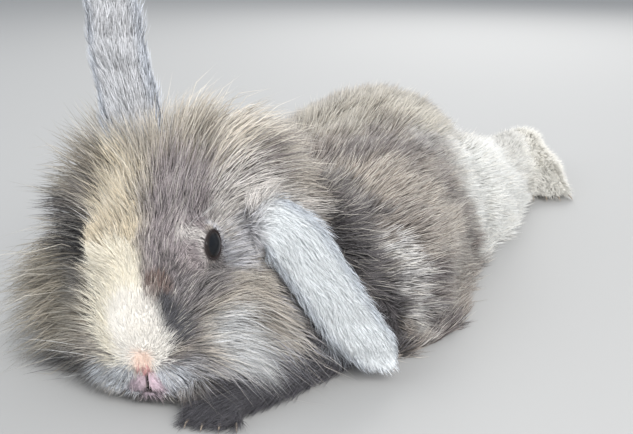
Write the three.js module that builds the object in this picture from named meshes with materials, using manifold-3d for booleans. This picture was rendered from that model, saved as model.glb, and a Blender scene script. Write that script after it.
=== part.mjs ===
// A lionhead rabbit at life size, lying on its belly with its head low and one hind leg stretched back.
// Millimetres, +Z up, floor at z = 0. The rabbit faces -Y, its left is +X, and the origin is the middle
// of the flat that its belly rests on.

import * as THREE from 'three';
import { mergeVertices } from 'three/addons/utils/BufferGeometryUtils.js';
import Module from 'manifold-3d';

const wasm = await Module();
wasm.setup();

// Driving dimensions

const GAP = 0.36; // how far a neighbour is swollen before it is cut away, which leaves 0.3 clear

const HEAD_NOSE = [8, -198]; // floor point under the tip of the nose
const HEAD_TURN = 19; // degrees that the head is turned to the rabbit's left
const HEAD_ROLL = 5; // degrees that the crown leans to the rabbit's right
const HEAD_LIFT = 2.5; // clear height under the chin

const EYE_RADIUS = 8;
const EYE_PLACE = { side: 22, back: 25.5, height: 62.5 };
const EYE_TURN = 14; // degrees that an eye looks forward of straight sideways
const LID_REACH = 6.8; // from the middle of the eye's opening to the middle of the lid's edge
const LID_HALF = 1.2; // half the thickness of the lid's edge

const EAR_HALF_WIDTH = 14;
const EAR_WALL = 2.6;

const LOCK_SEED = 20251;
const LOCK_THICK = 3; // thickness of a lock of the mane at its ridge
const LOCK_SUNK = 7; // how deep a lock is rooted in the neck
const FLOOR_CLEAR = 1.5;

// Small helpers

const degrees = THREE.MathUtils.degToRad;

function randomFrom(seed) {
  let state = seed;
  return () => {
    state = (state * 1664525 + 1013904223) % 4294967296;
    return state / 4294967296;
  };
}

function mix(a, b, t) {
  return a + (b - a) * t;
}

// A smooth curve through values that are spread evenly from t = 0 to t = 1.
function through(values) {
  const curve = new THREE.SplineCurve(values.map((value, i) => new THREE.Vector2(i, value)));
  return (t) => curve.getPoint(t).y;
}

// Closed surfaces

// Joins rings of equal count into one closed surface, with a point in the middle of each end.
function closeRings(rings) {
  const sides = rings[0].length;
  const middle = (ring) => ring.reduce((sum, p) => sum.add(p), new THREE.Vector3()).divideScalar(sides);
  const points = [...rings.flat(), middle(rings[0]), middle(rings[rings.length - 1])];
  const firstPole = rings.length * sides;
  const lastRing = firstPole - sides;
  const faces = [];
  for (let side = 0; side < sides; side += 1) {
    const next = (side + 1) % sides;
    faces.push(firstPole, next, side, firstPole + 1, lastRing + side, lastRing + next);
    for (let start = 0; start < lastRing; start += sides) {
      faces.push(start + side, start + next, start + sides + side);
      faces.push(start + next, start + sides + next, start + sides + side);
    }
  }
  const geometry = new THREE.BufferGeometry().setFromPoints(points);
  geometry.setIndex(faces);
  return facingOut(geometry);
}

function facingOut(geometry) {
  const at = geometry.attributes.position;
  const index = geometry.index.array;
  const [a, b, c] = [new THREE.Vector3(), new THREE.Vector3(), new THREE.Vector3()];
  let volume = 0;
  for (let i = 0; i < index.length; i += 3) {
    a.fromBufferAttribute(at, index[i]);
    b.fromBufferAttribute(at, index[i + 1]);
    c.fromBufferAttribute(at, index[i + 2]);
    volume += a.dot(b.cross(c));
  }
  if (volume < 0) {
    index.reverse();
  }
  return geometry;
}

// A slice of a body is an upright egg-shaped ring. It stands over (x, y), turned by turn degrees,
// reaches from low to high and half to each side, and is widest at the height level. Its top lies
// lean further back than its foot, egg makes the top narrower, and boxy flattens its sides.
const SLICE = { x: 0, y: 0, turn: 0, low: 0, high: 10, half: 5, level: 0.5, lean: 0, egg: 0, boxy: 0 };

function sliceRing(slice, sides) {
  const ring = [];
  const back = new THREE.Vector3(-Math.sin(degrees(slice.turn)), Math.cos(degrees(slice.turn)), 0);
  const side = new THREE.Vector3(Math.cos(degrees(slice.turn)), Math.sin(degrees(slice.turn)), 0);
  const widest = mix(slice.low, slice.high, slice.level);
  for (let i = 0; i < sides; i += 1) {
    const angle = (2 * Math.PI * i) / sides;
    const across = Math.sign(Math.cos(angle)) * Math.abs(Math.cos(angle)) ** (1 - slice.boxy);
    const upward = Math.sign(Math.sin(angle)) * Math.abs(Math.sin(angle)) ** (1 - slice.boxy / 2);
    const end = upward > 0 ? slice.high : slice.low;
    const height = mix(widest, end, Math.abs(upward));
    const behind = (slice.lean * (height - slice.low)) / (slice.high - slice.low);
    const point = new THREE.Vector3(slice.x, slice.y, height);
    point.addScaledVector(side, slice.half * across * (1 - slice.egg * upward));
    point.addScaledVector(back, behind);
    ring.push(point);
  }
  return ring;
}

// A body that runs smoothly through its slices.
function slicedBody(slices, rings, sides) {
  const full = slices.map((slice) => ({ ...SLICE, ...slice }));
  const curves = {};
  for (const key of Object.keys(SLICE)) {
    curves[key] = through(full.map((slice) => slice[key]));
  }
  const body = [];
  for (let i = 0; i <= rings; i += 1) {
    const slice = {};
    for (const key of Object.keys(SLICE)) {
      slice[key] = curves[key](i / rings);
    }
    body.push(sliceRing(slice, sides));
  }
  return closeRings(body);
}

function egg(radius, at, sides = 16) {
  const geometry = new THREE.SphereGeometry(1, sides, Math.round(sides * 0.6));
  geometry.scale(...radius);
  geometry.translate(...at);
  return geometry;
}

// Joining and cutting

function solid(geometry) {
  const bare = geometry.clone();
  bare.deleteAttribute('normal');
  bare.deleteAttribute('uv');
  const merged = mergeVertices(bare, 1e-4);
  return new wasm.Manifold(new wasm.Mesh({
    numProp: 3,
    vertProperties: new Float32Array(merged.attributes.position.array),
    triVerts: new Uint32Array(merged.index.array),
  }));
}

function swollen(geometry, growth = GAP) {
  const bare = geometry.clone();
  bare.deleteAttribute('normal');
  bare.deleteAttribute('uv');
  const merged = mergeVertices(bare, 1e-4);
  merged.computeVertexNormals();
  const at = merged.attributes.position;
  const normal = merged.attributes.normal;
  for (let i = 0; i < at.count; i += 1) {
    at.setXYZ(
      i,
      at.getX(i) + growth * normal.getX(i),
      at.getY(i) + growth * normal.getY(i),
      at.getZ(i) + growth * normal.getZ(i),
    );
  }
  return solid(merged);
}

function joined(solids) {
  return solids.reduce((sum, next) => sum.add(next));
}

function cut(body, tools) {
  return tools.reduce((rest, tool) => rest.subtract(tool), body);
}

function largest(body) {
  const pieces = body.decompose();
  return pieces.reduce((best, piece) => (piece.volume() > best.volume() ? piece : best));
}

function shape(body) {
  const mesh = largest(body).getMesh();
  const geometry = new THREE.BufferGeometry();
  geometry.setAttribute('position', new THREE.BufferAttribute(mesh.vertProperties, 3));
  geometry.setIndex(new THREE.BufferAttribute(mesh.triVerts, 1));
  geometry.computeVertexNormals();
  return geometry;
}

const underFloor = solid(new THREE.BoxGeometry(900, 900, 60).translate(0, 0, -30));

// Head

// The head is built with its nose over the origin, looking along -Y, and then carried to its place.
const headPlace = new THREE.Matrix4()
  .makeTranslation(HEAD_NOSE[0], HEAD_NOSE[1], HEAD_LIFT)
  .multiply(new THREE.Matrix4().makeRotationZ(degrees(HEAD_TURN)))
  .multiply(new THREE.Matrix4().makeRotationY(degrees(-HEAD_ROLL)));

// Each slice of the head runs from a point of the throat line up to a point of the forehead line.
function headSlice(throat, forehead, half, eggShape, level = 0.45, boxy = 0) {
  return {
    y: throat[0],
    low: throat[1],
    high: forehead[1],
    lean: forehead[0] - throat[0],
    half,
    level,
    boxy,
    egg: eggShape,
  };
}

const headForm = slicedBody([
  headSlice([0.8, 14], [0, 27], 6, 0),
  headSlice([1, 5], [1, 35], 15, 0.05),
  headSlice([4, 1], [4.5, 46], 21, 0.12),
  headSlice([12, 0], [9.5, 58], 25.5, 0.14),
  headSlice([24, 0.5], [17, 69], 28.5, 0.06, 0.54, 0.15),
  headSlice([37, 1], [27, 79], 30.5, 0.04, 0.54, 0.15),
  headSlice([49, 2], [39, 87], 31.5, 0.04, 0.5, 0.1),
  headSlice([60, 5], [53, 91], 31, 0.06),
  headSlice([71, 12], [67, 88], 27, 0.06),
  headSlice([80, 24], [78, 78], 18, 0.06),
  headSlice([84, 40], [83, 66], 8, 0),
], 22, 26).applyMatrix4(headPlace);

// A round rod that follows a few points, for the lines that are cut into the face.
function rod(pathPoints, radius, rings = 10, sides = 6) {
  const path = new THREE.CatmullRomCurve3(pathPoints.map((p) => new THREE.Vector3(...p)));
  const body = [];
  for (let i = 0; i <= rings; i += 1) {
    const along = path.getTangentAt(i / rings);
    const side = new THREE.Vector3(along.z, along.x, along.y).cross(along).normalize();
    const other = new THREE.Vector3().crossVectors(along, side);
    const taper = Math.min(1, 0.35 + 2.6 * Math.min(i / rings, 1 - i / rings));
    const ring = [];
    for (let j = 0; j < sides; j += 1) {
      const angle = (2 * Math.PI * j) / sides;
      const point = path.getPointAt(i / rings);
      point.addScaledVector(side, radius * taper * Math.cos(angle));
      point.addScaledVector(other, radius * taper * Math.sin(angle));
      ring.push(point);
    }
    body.push(ring);
  }
  return closeRings(body);
}

// Eyes, and the lids round them

function eyeCentre(side) {
  return new THREE.Vector3(side * EYE_PLACE.side, EYE_PLACE.back, EYE_PLACE.height);
}

function eyeBall(side) {
  return egg([EYE_RADIUS, EYE_RADIUS, EYE_RADIUS], eyeCentre(side).toArray(), 16).applyMatrix4(headPlace);
}

// The bone round the eye, which carries the brow.
function orbit(side) {
  const inside = new THREE.Vector3(-8 * side, 3, -1);
  return egg([11.8, 18, 14.5], eyeCentre(side).add(inside).toArray(), 14).applyMatrix4(headPlace);
}

function lid(side) {
  const outward = new THREE.Vector3(side * Math.cos(degrees(EYE_TURN)), -Math.sin(degrees(EYE_TURN)), 0.12);
  outward.normalize();
  const ring = new THREE.TorusGeometry(LID_REACH, LID_HALF, 5, 16);
  ring.lookAt(outward);
  const depth = Math.sqrt(EYE_RADIUS ** 2 - LID_REACH ** 2);
  const at = eyeCentre(side).addScaledVector(outward, depth + 0.3);
  return ring.translate(at.x, at.y, at.z).applyMatrix4(headPlace);
}

// The muzzle: two pads that carry the whiskers, the lower lip, and the lines of the nose and mouth.

function muzzlePad(side) {
  return egg([9.5, 8, 9], [side * 8.5, 7, 19.5], 14).applyMatrix4(headPlace);
}

const lowerLip = egg([7.5, 6, 5.5], [0, 6.5, 7], 12).applyMatrix4(headPlace);
const nosePad = egg([5.5, 4, 5], [0, 2.8, 27.5], 12).applyMatrix4(headPlace);

const mouthLine = rod([[-15, 9, 10], [-8, 1, 9.5], [0, -0.6, 12.5], [8, 1, 9.5], [15, 9, 10]], 1.1, 14);
const lipCleft = rod([[0, -1, 11], [0, -1.4, 17], [0, -1.2, 23]], 1.1, 6);

function nostril(side) {
  return rod([[side * 0.8, -1.4, 23.5], [side * 4.5, -1, 26.5], [side * 9.5, 2.6, 30]], 1.1, 8);
}

// Trunk and limbs

// The belly and flanks spread on the floor, so each slice is widest where the floor cuts it.
const SPREAD = { low: -40, level: 0.3 };
const torsoSlices = [
  { x: -8, y: -130, low: 14, high: 50, half: 22 },
  { x: 2, y: -116, low: -10, high: 66, half: 66, level: 0.3 },
  { x: 7, y: -92, ...SPREAD, high: 80, half: 86 },
  { x: 8, y: -60, ...SPREAD, high: 88, half: 91 },
  { x: 4, y: -28, ...SPREAD, high: 94, half: 85 },
  { x: 1, y: 5, ...SPREAD, high: 98, half: 79 },
  { x: -2, y: 38, ...SPREAD, high: 98, half: 75 },
  { x: -7, y: 70, ...SPREAD, high: 89, half: 66 },
  { x: -9, y: 98, ...SPREAD, high: 71, half: 54 },
  { x: -8, y: 122, low: -16, high: 51, half: 40, level: 0.4 },
  { x: -5, y: 142, low: 2, high: 30, half: 18 },
];
const torsoForm = slicedBody(torsoSlices, 22, 26);

const collarForm = slicedBody([
  { x: -2, y: -180, turn: 18, low: 18, high: 66, half: 26, lean: 20 },
  { x: -5, y: -172, turn: 17, low: 6, high: 90, half: 42, lean: 24, level: 0.42 },
  { x: -8, y: -156, turn: 15, low: 3, high: 103, half: 53, lean: 20, level: 0.4 },
  { x: -12, y: -138, turn: 12, low: 2.5, high: 106, half: 57, lean: 14, level: 0.4 },
  { x: -14, y: -116, turn: 9, low: 3, high: 100, half: 55, lean: 6, level: 0.4 },
  { x: -12, y: -96, turn: 5, low: 12, high: 84, half: 42, lean: 0 },
], 12, 24);

const foreLegSlices = {
  left: [
    { x: 62, y: -84, turn: 10, low: 0, high: 30, half: 10 },
    { x: 60, y: -98, turn: 10, low: -1, high: 34, half: 16 },
    { x: 56, y: -130, turn: 14, low: -1, high: 25, half: 13 },
    { x: 48, y: -158, turn: 18, low: -1, high: 18, half: 11 },
    { x: 40, y: -178, turn: 22, low: -1, high: 15, half: 12 },
    { x: 34, y: -192, turn: 22, low: 0, high: 10, half: 8 },
  ],
  right: [
    { x: -64, y: -84, turn: -4, low: 0, high: 30, half: 10 },
    { x: -62, y: -98, turn: -4, low: -1, high: 34, half: 16 },
    { x: -58, y: -124, turn: -8, low: -1, high: 25, half: 13 },
    { x: -54, y: -146, turn: -10, low: -1, high: 18, half: 11 },
    { x: -50, y: -161, turn: -10, low: -1, high: 15, half: 12 },
    { x: -48, y: -173, turn: -10, low: 0, high: 10, half: 8 },
  ],
};
const thighForms = {
  left: slicedBody([
    { x: 24, y: 30, turn: -10, low: 14, high: 60, half: 18 },
    { x: 32, y: 52, turn: -12, low: -16, high: 72, half: 39, level: 0.35 },
    { x: 36, y: 84, turn: -8, low: -16, high: 64, half: 41, level: 0.35 },
    { x: 38, y: 116, turn: -2, low: -12, high: 50, half: 34, level: 0.38 },
    { x: 40, y: 148, turn: 8, low: -6, high: 41, half: 28, level: 0.4 },
    { x: 38, y: 180, turn: 16, low: -2, high: 39, half: 20 },
    { x: 30, y: 212, turn: 16, low: 0, high: 36, half: 15 },
    { x: 26, y: 228, turn: 14, low: 4, high: 24, half: 8 },
  ], 16, 18),
  right: slicedBody([
    { x: -50, y: 10, turn: 0, low: 12, high: 40, half: 12 },
    { x: -56, y: 26, turn: 0, low: -2, high: 62, half: 24 },
    { x: -56, y: 56, turn: 0, low: -6, high: 78, half: 32, level: 0.4 },
    { x: -50, y: 88, turn: 0, low: -6, high: 78, half: 34, level: 0.4 },
    { x: -40, y: 118, turn: 0, low: -3, high: 60, half: 28 },
    { x: -34, y: 138, turn: 0, low: 6, high: 36, half: 14 },
  ], 14, 18),
};

const footForms = {
  left: slicedBody([
    { x: 26, y: 245, turn: 33, low: 4, high: 24, half: 7 },
    { x: 30, y: 238, turn: 33, low: -1, high: 34, half: 13 },
    { x: 40, y: 223, turn: 33, low: -1, high: 34, half: 15 },
    { x: 55, y: 200, turn: 33, low: -1, high: 27, half: 15 },
    { x: 69, y: 179, turn: 33, low: -1, high: 22, half: 16 },
    { x: 76, y: 168, turn: 33, low: 1, high: 15, half: 12 },
  ], 12, 16),
  right: slicedBody([
    { x: -70, y: 108, turn: -4, low: 4, high: 20, half: 7 },
    { x: -71, y: 100, turn: -4, low: -1, high: 28, half: 12 },
    { x: -74, y: 80, turn: -4, low: -1, high: 26, half: 14 },
    { x: -78, y: 50, turn: -4, low: -1, high: 22, half: 14 },
    { x: -80, y: 30, turn: -4, low: -1, high: 19, half: 15 },
    { x: -81, y: 22, turn: -4, low: 1, high: 14, half: 12 },
  ], 12, 16),
};

// Toes stand in a fan at the front of a foot. The middle ones reach furthest.
const HIND_TOE = { count: 4, half: 4.9, long: 12, high: 7, fan: 8 };
const FORE_TOE = { count: 4, half: 3.7, long: 8, high: 5.5, fan: 9 };

function toes(toe, x, y, turn) {
  const forms = [];
  for (let i = 0; i < toe.count; i += 1) {
    const place = i - (toe.count - 1) / 2;
    const form = new THREE.SphereGeometry(1, 8, 6);
    form.scale(toe.half, toe.long, toe.high);
    form.translate(0, -0.12 * toe.long * (2 - Math.abs(place)), toe.high - 1);
    form.rotateZ(degrees(toe.fan * place));
    form.translate(place * 1.55 * toe.half, 0, 0);
    form.rotateZ(degrees(turn));
    forms.push(form.translate(x, y, 0));
  }
  return forms;
}

const foreLegParts = {
  left: [slicedBody(foreLegSlices.left, 12, 16), ...toes(FORE_TOE, 35, -189, 22)],
  right: [slicedBody(foreLegSlices.right, 12, 16), ...toes(FORE_TOE, -48, -171, -10)],
};
const hindFootParts = {
  left: [footForms.left, ...toes(HIND_TOE, 75, 168, 33)],
  right: [footForms.right, ...toes(HIND_TOE, -80, 24, -4)],
};

const tailForm = slicedBody([
  { x: -6, y: 128, turn: 6, low: 30, high: 48, half: 9 },
  { x: -8, y: 140, turn: 6, low: 16, high: 52, half: 17 },
  { x: -9, y: 156, turn: 6, low: 8, high: 46, half: 19 },
  { x: -10, y: 170, turn: 6, low: 4, high: 35, half: 16 },
  { x: -11, y: 182, turn: 6, low: 4, high: 22, half: 9 },
], 10, 14);

// Ears

// An ear is a leaf with its edges curled up into a cup. The path runs from root to tip, facing is the
// way that the cup opens, and growth swells the whole ear.
function earForm(pathPoints, facing, growth = 0) {
  const rings = 14;
  const across = 6;
  const path = new THREE.CatmullRomCurve3(pathPoints.map((p) => new THREE.Vector3(...p)));
  const halfWidth = through([0.68, 0.88, 1.0, 1.0, 0.95, 0.85, 0.68, 0.3]);
  const cup = through([0.2, 0.5, 0.6, 0.5, 0.42, 0.34, 0.25, 0.1]);
  const wall = through([3.4, 2.2, 1.15, 1, 1, 0.95, 0.8, 0.5]);
  const opening = new THREE.Vector3(...facing);
  const body = [];
  for (let i = 0; i <= rings; i += 1) {
    const t = i / rings;
    const centre = path.getPointAt(t);
    const along = path.getTangentAt(t);
    const side = new THREE.Vector3().crossVectors(along, opening).normalize();
    const open = new THREE.Vector3().crossVectors(side, along).normalize();
    const half = halfWidth(t) * EAR_HALF_WIDTH;
    const depth = cup(t) * half;
    if (i === rings) {
      centre.addScaledVector(along, growth);
    }
    const ring = [];
    for (const face of [-1, 1]) {
      for (let j = 0; j <= across; j += 1) {
        const u = face * ((-2 * j) / across + 1);
        const thick = 0.5 * wall(t) * EAR_WALL * (1 - 0.75 * u ** 4) + growth;
        const lift = depth * u * u + face * thick;
        ring.push(centre.clone().addScaledVector(side, (half + growth) * u).addScaledVector(open, lift));
      }
    }
    body.push(ring);
  }
  return closeRings(body);
}

const EAR_PATHS = {
  left: {
    path: [
      [16, -149, 71], [27, -146, 73], [38, -144, 70], [48, -142, 61], [58, -141, 48], [70, -138, 31],
      [86, -129, 10],
    ],
    facing: [-0.45, 0.8, -0.41],
  },
  right: {
    path: [[-24, -154, 82], [-30, -155, 100], [-34, -155, 122], [-38, -154, 148], [-41, -150, 180]],
    facing: [-0.5, 1, 0.1],
  },
};

// Mane

// The height of a sliced body over a point of the floor, or 0 beside it.
function heightOver(slices) {
  const full = slices.map((slice) => ({ ...SLICE, ...slice }));
  const curves = {};
  for (const key of ['x', 'y', 'low', 'high', 'half', 'level']) {
    curves[key] = through(full.map((slice) => slice[key]));
  }
  const steps = 40;
  return (x, y) => {
    let nearest = 0;
    let shortest = Infinity;
    for (let i = 0; i <= steps; i += 1) {
      const distance = Math.hypot(curves.x(i / steps) - x, (curves.y(i / steps) - y) * 3);
      if (distance < shortest) {
        shortest = distance;
        nearest = i / steps;
      }
    }
    const across = Math.hypot(curves.x(nearest) - x, curves.y(nearest) - y) / curves.half(nearest);
    if (across >= 1) {
      return 0;
    }
    const widest = mix(curves.low(nearest), curves.high(nearest), curves.level(nearest));
    return mix(widest, curves.high(nearest), Math.sqrt(1 - across ** 2));
  };
}
const grounds = [torsoSlices, foreLegSlices.left, foreLegSlices.right].map(heightOver);

// A lock is a flat tapered blade with a ridge along its outer face. It leaves its root along start,
// bends towards lie, and stays clear of the floor and of the back.
function lockForm(root, start, lie, length, half, outward) {
  const widths = [0.75, 1, 0.9, 0.6, 0.08];
  const segments = widths.length - 1;
  const points = [root.clone().addScaledVector(outward, -LOCK_SUNK)];
  for (let i = 1; i <= segments; i += 1) {
    const way = start.clone().lerp(lie, i / segments).normalize();
    const step = i === 1 ? LOCK_SUNK + length * 0.16 : (length * 0.84) / (segments - 1);
    points.push(points[i - 1].clone().addScaledVector(way, step));
  }
  for (const point of points.slice(1)) {
    const ground = Math.max(FLOOR_CLEAR, ...grounds.map((height) => height(point.x, point.y) + GAP));
    point.z = Math.max(point.z, ground + LOCK_THICK / 2);
  }
  const body = [];
  for (let i = 0; i <= segments; i += 1) {
    const ahead = points[Math.min(i + 1, segments)];
    const along = ahead.clone().sub(points[Math.max(i - 1, 0)]).normalize();
    const side = new THREE.Vector3().crossVectors(along, outward).normalize();
    const up = new THREE.Vector3().crossVectors(side, along).normalize();
    const thick = LOCK_THICK * Math.min(1, widths[i] + 0.1);
    body.push([
      points[i].clone().addScaledVector(side, half * widths[i]).addScaledVector(up, -thick / 3),
      points[i].clone().addScaledVector(up, (2 * thick) / 3),
      points[i].clone().addScaledVector(side, -half * widths[i]).addScaledVector(up, -thick / 3),
    ]);
  }
  return closeRings(body);
}

// Rows of locks round the head, each further back than the one before and lying flatter. A turn of 0
// is the rabbit's left, 90 the crown and 180 its right.
const MANE_ROWS = [
  { back: 30, reach: 34, high: 34, count: 22, half: 6.5, spread: 0.95, sweep: 0.1, length: 0.95 },
  { back: 44, reach: 44, high: 42, count: 24, half: 7, spread: 0.85, sweep: 0.4, length: 1 },
  { back: 60, reach: 51, high: 48, count: 22, half: 7.5, spread: 0.7, sweep: 0.7, length: 1.05 },
  { back: 78, reach: 50, high: 48, count: 18, half: 8, spread: 0.5, sweep: 0.9, length: 1.1 },
];
const MANE_MIDDLE = 54; // height of the middle of the mane over the chin
const MANE_LEAN = 14; // how much further back the mane is rooted on the crown than at its middle
// The locks crowd on the crown and on the rabbit's right. Lengths, how far the tips fall and how far
// they reach forward are given at turns of 0, 45, 90 and so on, the last one again the first.
const maneTurn = through([0, 0.13, 0.25, 0.355, 0.445, 0.525, 0.61, 0.8, 1]);
const maneLength = through([48, 34, 28, 30, 62, 44, 24, 54, 48]);
const maneFall = through([-0.5, -0.2, 0.1, -0.05, -0.25, -0.5, -0.3, -0.7, -0.5]);
const maneForward = through([0.1, 0, 0, 0.05, 0.3, 0.4, 0.1, 0.9, 0.1]);

function maneLocks() {
  const random = randomFrom(LOCK_SEED);
  const turned = new THREE.Matrix4().extractRotation(headPlace);
  const locks = [];
  for (const [rowNumber, row] of MANE_ROWS.entries()) {
    for (let i = 0; i < row.count; i += 1) {
      const turn = maneTurn(((i + 0.5 * (rowNumber % 2) + 0.5 * random()) / row.count) % 1);
      const outward = new THREE.Vector3(Math.cos(2 * Math.PI * turn), 0, Math.sin(2 * Math.PI * turn));
      const lean = MANE_LEAN * outward.z;
      const height = MANE_MIDDLE + row.high * outward.z;
      const root = new THREE.Vector3(row.reach * outward.x, row.back + lean, height);
      const start = outward.clone().multiplyScalar(row.spread);
      start.y += row.sweep + 0.3 * (random() - 0.5) - maneForward(turn);
      const lie = start.clone().add(new THREE.Vector3(0, 0.1, maneFall(turn))).normalize();
      const length = maneLength(turn) * row.length * (0.85 + 0.3 * random());
      const half = row.half * (0.85 + 0.3 * random());
      root.applyMatrix4(headPlace);
      for (const way of [start, lie, outward]) {
        way.applyMatrix4(turned).normalize();
      }
      locks.push(solid(lockForm(root, start, lie, length, half, outward)));
    }
  }
  return locks;
}

// Nodes

const earForms = {};
const grownEars = {};
for (const [name, ear] of Object.entries(EAR_PATHS)) {
  earForms[name] = earForm(ear.path, ear.facing);
  grownEars[name] = solid(earForm(ear.path, ear.facing, 1.7 * GAP)); // its edges slope to the growth
}
const grownHead = swollen(headForm);
const grownEyes = { left: swollen(eyeBall(1)), right: swollen(eyeBall(-1)) };
const grownCollar = swollen(collarForm);
const grownTorso = swollen(torsoForm);
const grownThighs = { left: swollen(thighForms.left), right: swollen(thighForms.right) };

const sides = [1, -1];
const faceParts = [
  ...sides.flatMap((side) => [muzzlePad(side), orbit(side), lid(side)]),
  lowerLip,
  nosePad,
];
const head = joined([headForm, ...faceParts].map(solid));
const faceLines = [mouthLine, lipCleft, nostril(1), nostril(-1)]
  .map((line) => solid(line.applyMatrix4(headPlace)));
const grownFace = faceParts.map((form) => swollen(form));
const grownLegs = Object.values(foreLegParts).flat().map((form) => swollen(form));
const mane = cut(joined(maneLocks()), [
  grownTorso,
  grownEars.left,
  grownEars.right,
  ...grownLegs,
]);
const collar = cut(joined([solid(collarForm), mane]), [
  grownHead,
  grownEyes.left,
  grownEyes.right,
  ...grownFace,
  grownEars.left,
  grownEars.right,
  underFloor,
]);

const aroundFront = [grownTorso, grownCollar, grownHead, ...grownFace, underFloor];

function limb(parts, neighbours) {
  return cut(joined(parts.map(solid)), neighbours);
}

const nodes = {
  head: [cut(head, [grownEyes.left, grownEyes.right, ...faceLines]), 0x968b82, 0.9],
  eye_left: [solid(eyeBall(1)), 0x14100f, 0.06],
  eye_right: [solid(eyeBall(-1)), 0x14100f, 0.06],
  ear_left: [cut(solid(earForms.left), [grownHead]), 0xa3a8b0, 0.85],
  ear_right: [cut(solid(earForms.right), [grownHead]), 0x8b9197, 0.85],
  neck: [collar, 0xb0a591, 0.95],
  torso: [
    cut(solid(torsoForm), [grownCollar, grownHead, grownEars.left, underFloor]),
    0x8c8173,
    0.95,
  ],
  foreleg_left: [limb(foreLegParts.left, aroundFront), 0x6f6a66, 0.9],
  foreleg_right: [limb(foreLegParts.right, aroundFront), 0x6f6a66, 0.9],
  hind_leg_left: [limb([thighForms.left], [grownTorso, underFloor]), 0xb5ad9e, 0.95],
  hind_leg_right: [limb([thighForms.right], [grownTorso, underFloor]), 0xa69d8f, 0.95],
  hind_foot_left: [limb(hindFootParts.left, [grownTorso, grownThighs.left, underFloor]), 0xcbc5b9, 0.9],
  hind_foot_right: [limb(hindFootParts.right, [grownTorso, grownThighs.right, underFloor]), 0xcbc5b9, 0.9],
  tail: [limb([tailForm], [grownTorso, grownThighs.left, grownThighs.right, underFloor]), 0xa8a198, 0.95],
};

const group = new THREE.Group();
for (const [name, [body, color, roughness]] of Object.entries(nodes)) {
  const material = new THREE.MeshStandardMaterial({ color, roughness, metalness: 0 });
  const mesh = new THREE.Mesh(shape(body), material);
  mesh.name = name;
  group.add(mesh);
}

export default group;
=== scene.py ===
# %% [markdown]
# A lionhead rabbit at life size, lying on its belly with its head low, one ear up and the other
# hanging, and one hind leg stretched out behind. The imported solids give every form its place. This
# file lays a skin just inside them, grows a coat of thin tufts over it, and adds eyes, lids,
# whiskers and claws. Everything is in metres in the solids' own frame: the rabbit faces -Y, its
# left is +X, and the floor is z = 0.

# %% The frame
import math

import bmesh
import bpy
import numpy as np
from mathutils import Matrix, Vector


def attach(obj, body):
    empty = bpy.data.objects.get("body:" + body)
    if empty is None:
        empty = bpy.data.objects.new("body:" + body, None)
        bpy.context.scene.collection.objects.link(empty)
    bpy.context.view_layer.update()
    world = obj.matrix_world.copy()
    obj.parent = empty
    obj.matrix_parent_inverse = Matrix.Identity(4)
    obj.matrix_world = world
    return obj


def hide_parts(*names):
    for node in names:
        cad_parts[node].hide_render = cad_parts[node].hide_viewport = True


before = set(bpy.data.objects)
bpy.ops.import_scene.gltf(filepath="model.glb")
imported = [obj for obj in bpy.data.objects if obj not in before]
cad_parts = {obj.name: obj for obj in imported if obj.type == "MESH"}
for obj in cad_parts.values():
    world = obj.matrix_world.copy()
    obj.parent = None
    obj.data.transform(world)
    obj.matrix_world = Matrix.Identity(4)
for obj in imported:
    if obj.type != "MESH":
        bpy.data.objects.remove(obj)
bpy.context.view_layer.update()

MM = 0.001

# %% [markdown]
# The camera stands where the photograph was taken from: a little above the rabbit, in front of its
# left shoulder, looking down over its head towards its haunch.

# %% Camera
CAMERA_PLACE = (0.210, -0.410, 0.190)
CAMERA_AZIMUTH = 30  # degrees that the view is turned from +Y towards -X
CAMERA_PITCH = 20  # degrees that it looks down
CAMERA_LENS = 45.5
SENSOR = 36

camera_data = bpy.data.cameras.new("camera")
camera_data.lens = CAMERA_LENS
camera_data.sensor_width = SENSOR
camera = bpy.data.objects.new("camera", camera_data)
camera.location = CAMERA_PLACE
camera.rotation_euler = (math.radians(90 - CAMERA_PITCH), 0, math.radians(CAMERA_AZIMUTH))
bpy.context.scene.collection.objects.link(camera)
bpy.context.scene.camera = camera
print("camera", CAMERA_LENS, "mm")

# %% [markdown]
# Shapes here are whole arrays of points. A few small functions are used everywhere: a soft step, a
# blend, a gentle three-dimensional ripple that stands in for the unevenness of living things, and
# the soft capsule, which says how near a point is to a stretch of the body. Capsules place the
# coat's zones, its markings and its painted shade, so that skin and tufts always agree.

# %% Small helpers on arrays
WAVES = 7
WAVE_TURNS = (0.6, 1.6)  # of a wave, as a share of those of the size asked for
WAVE_SUM = 3.2  # about the most that the waves add up to


def soft_step(t):
    """0 below 0, 1 above 1, and three times the square less twice the cube between them."""
    t = np.clip(t, 0, 1)
    return t * t * (3 - 2 * t)


def blend(a, b, share):
    """a where share is 0 and b where it is 1: a plus that share of the way from a to b."""
    return a + (b - a) * share


def unit(vectors):
    """Each row divided by its length."""
    return vectors / np.maximum(np.linalg.norm(vectors, axis=-1, keepdims=True), 1e-12)


def dot(a, b):
    """The scalar product of each row of a with that of b."""
    return np.sum(a * b, axis=-1)


def ripple(points, size, seed):
    """Between about -1 and 1: the sum of a few sine waves of about that size in mm, in seeded
    directions, over the most that it comes to."""
    draw = np.random.default_rng(seed)
    total = np.zeros(len(points))
    for _ in range(WAVES):
        way = unit(draw.normal(size=3)) * (2 * math.pi / size) * draw.uniform(*WAVE_TURNS)
        total += np.sin(points @ way + draw.uniform(0, 2 * math.pi))
    return total / WAVE_SUM


def ripples(points, size, seed):
    """Three ripples of one size as the parts of a direction."""
    return np.stack([ripple(points, size, seed + k) for k in range(3)], axis=1)


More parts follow.
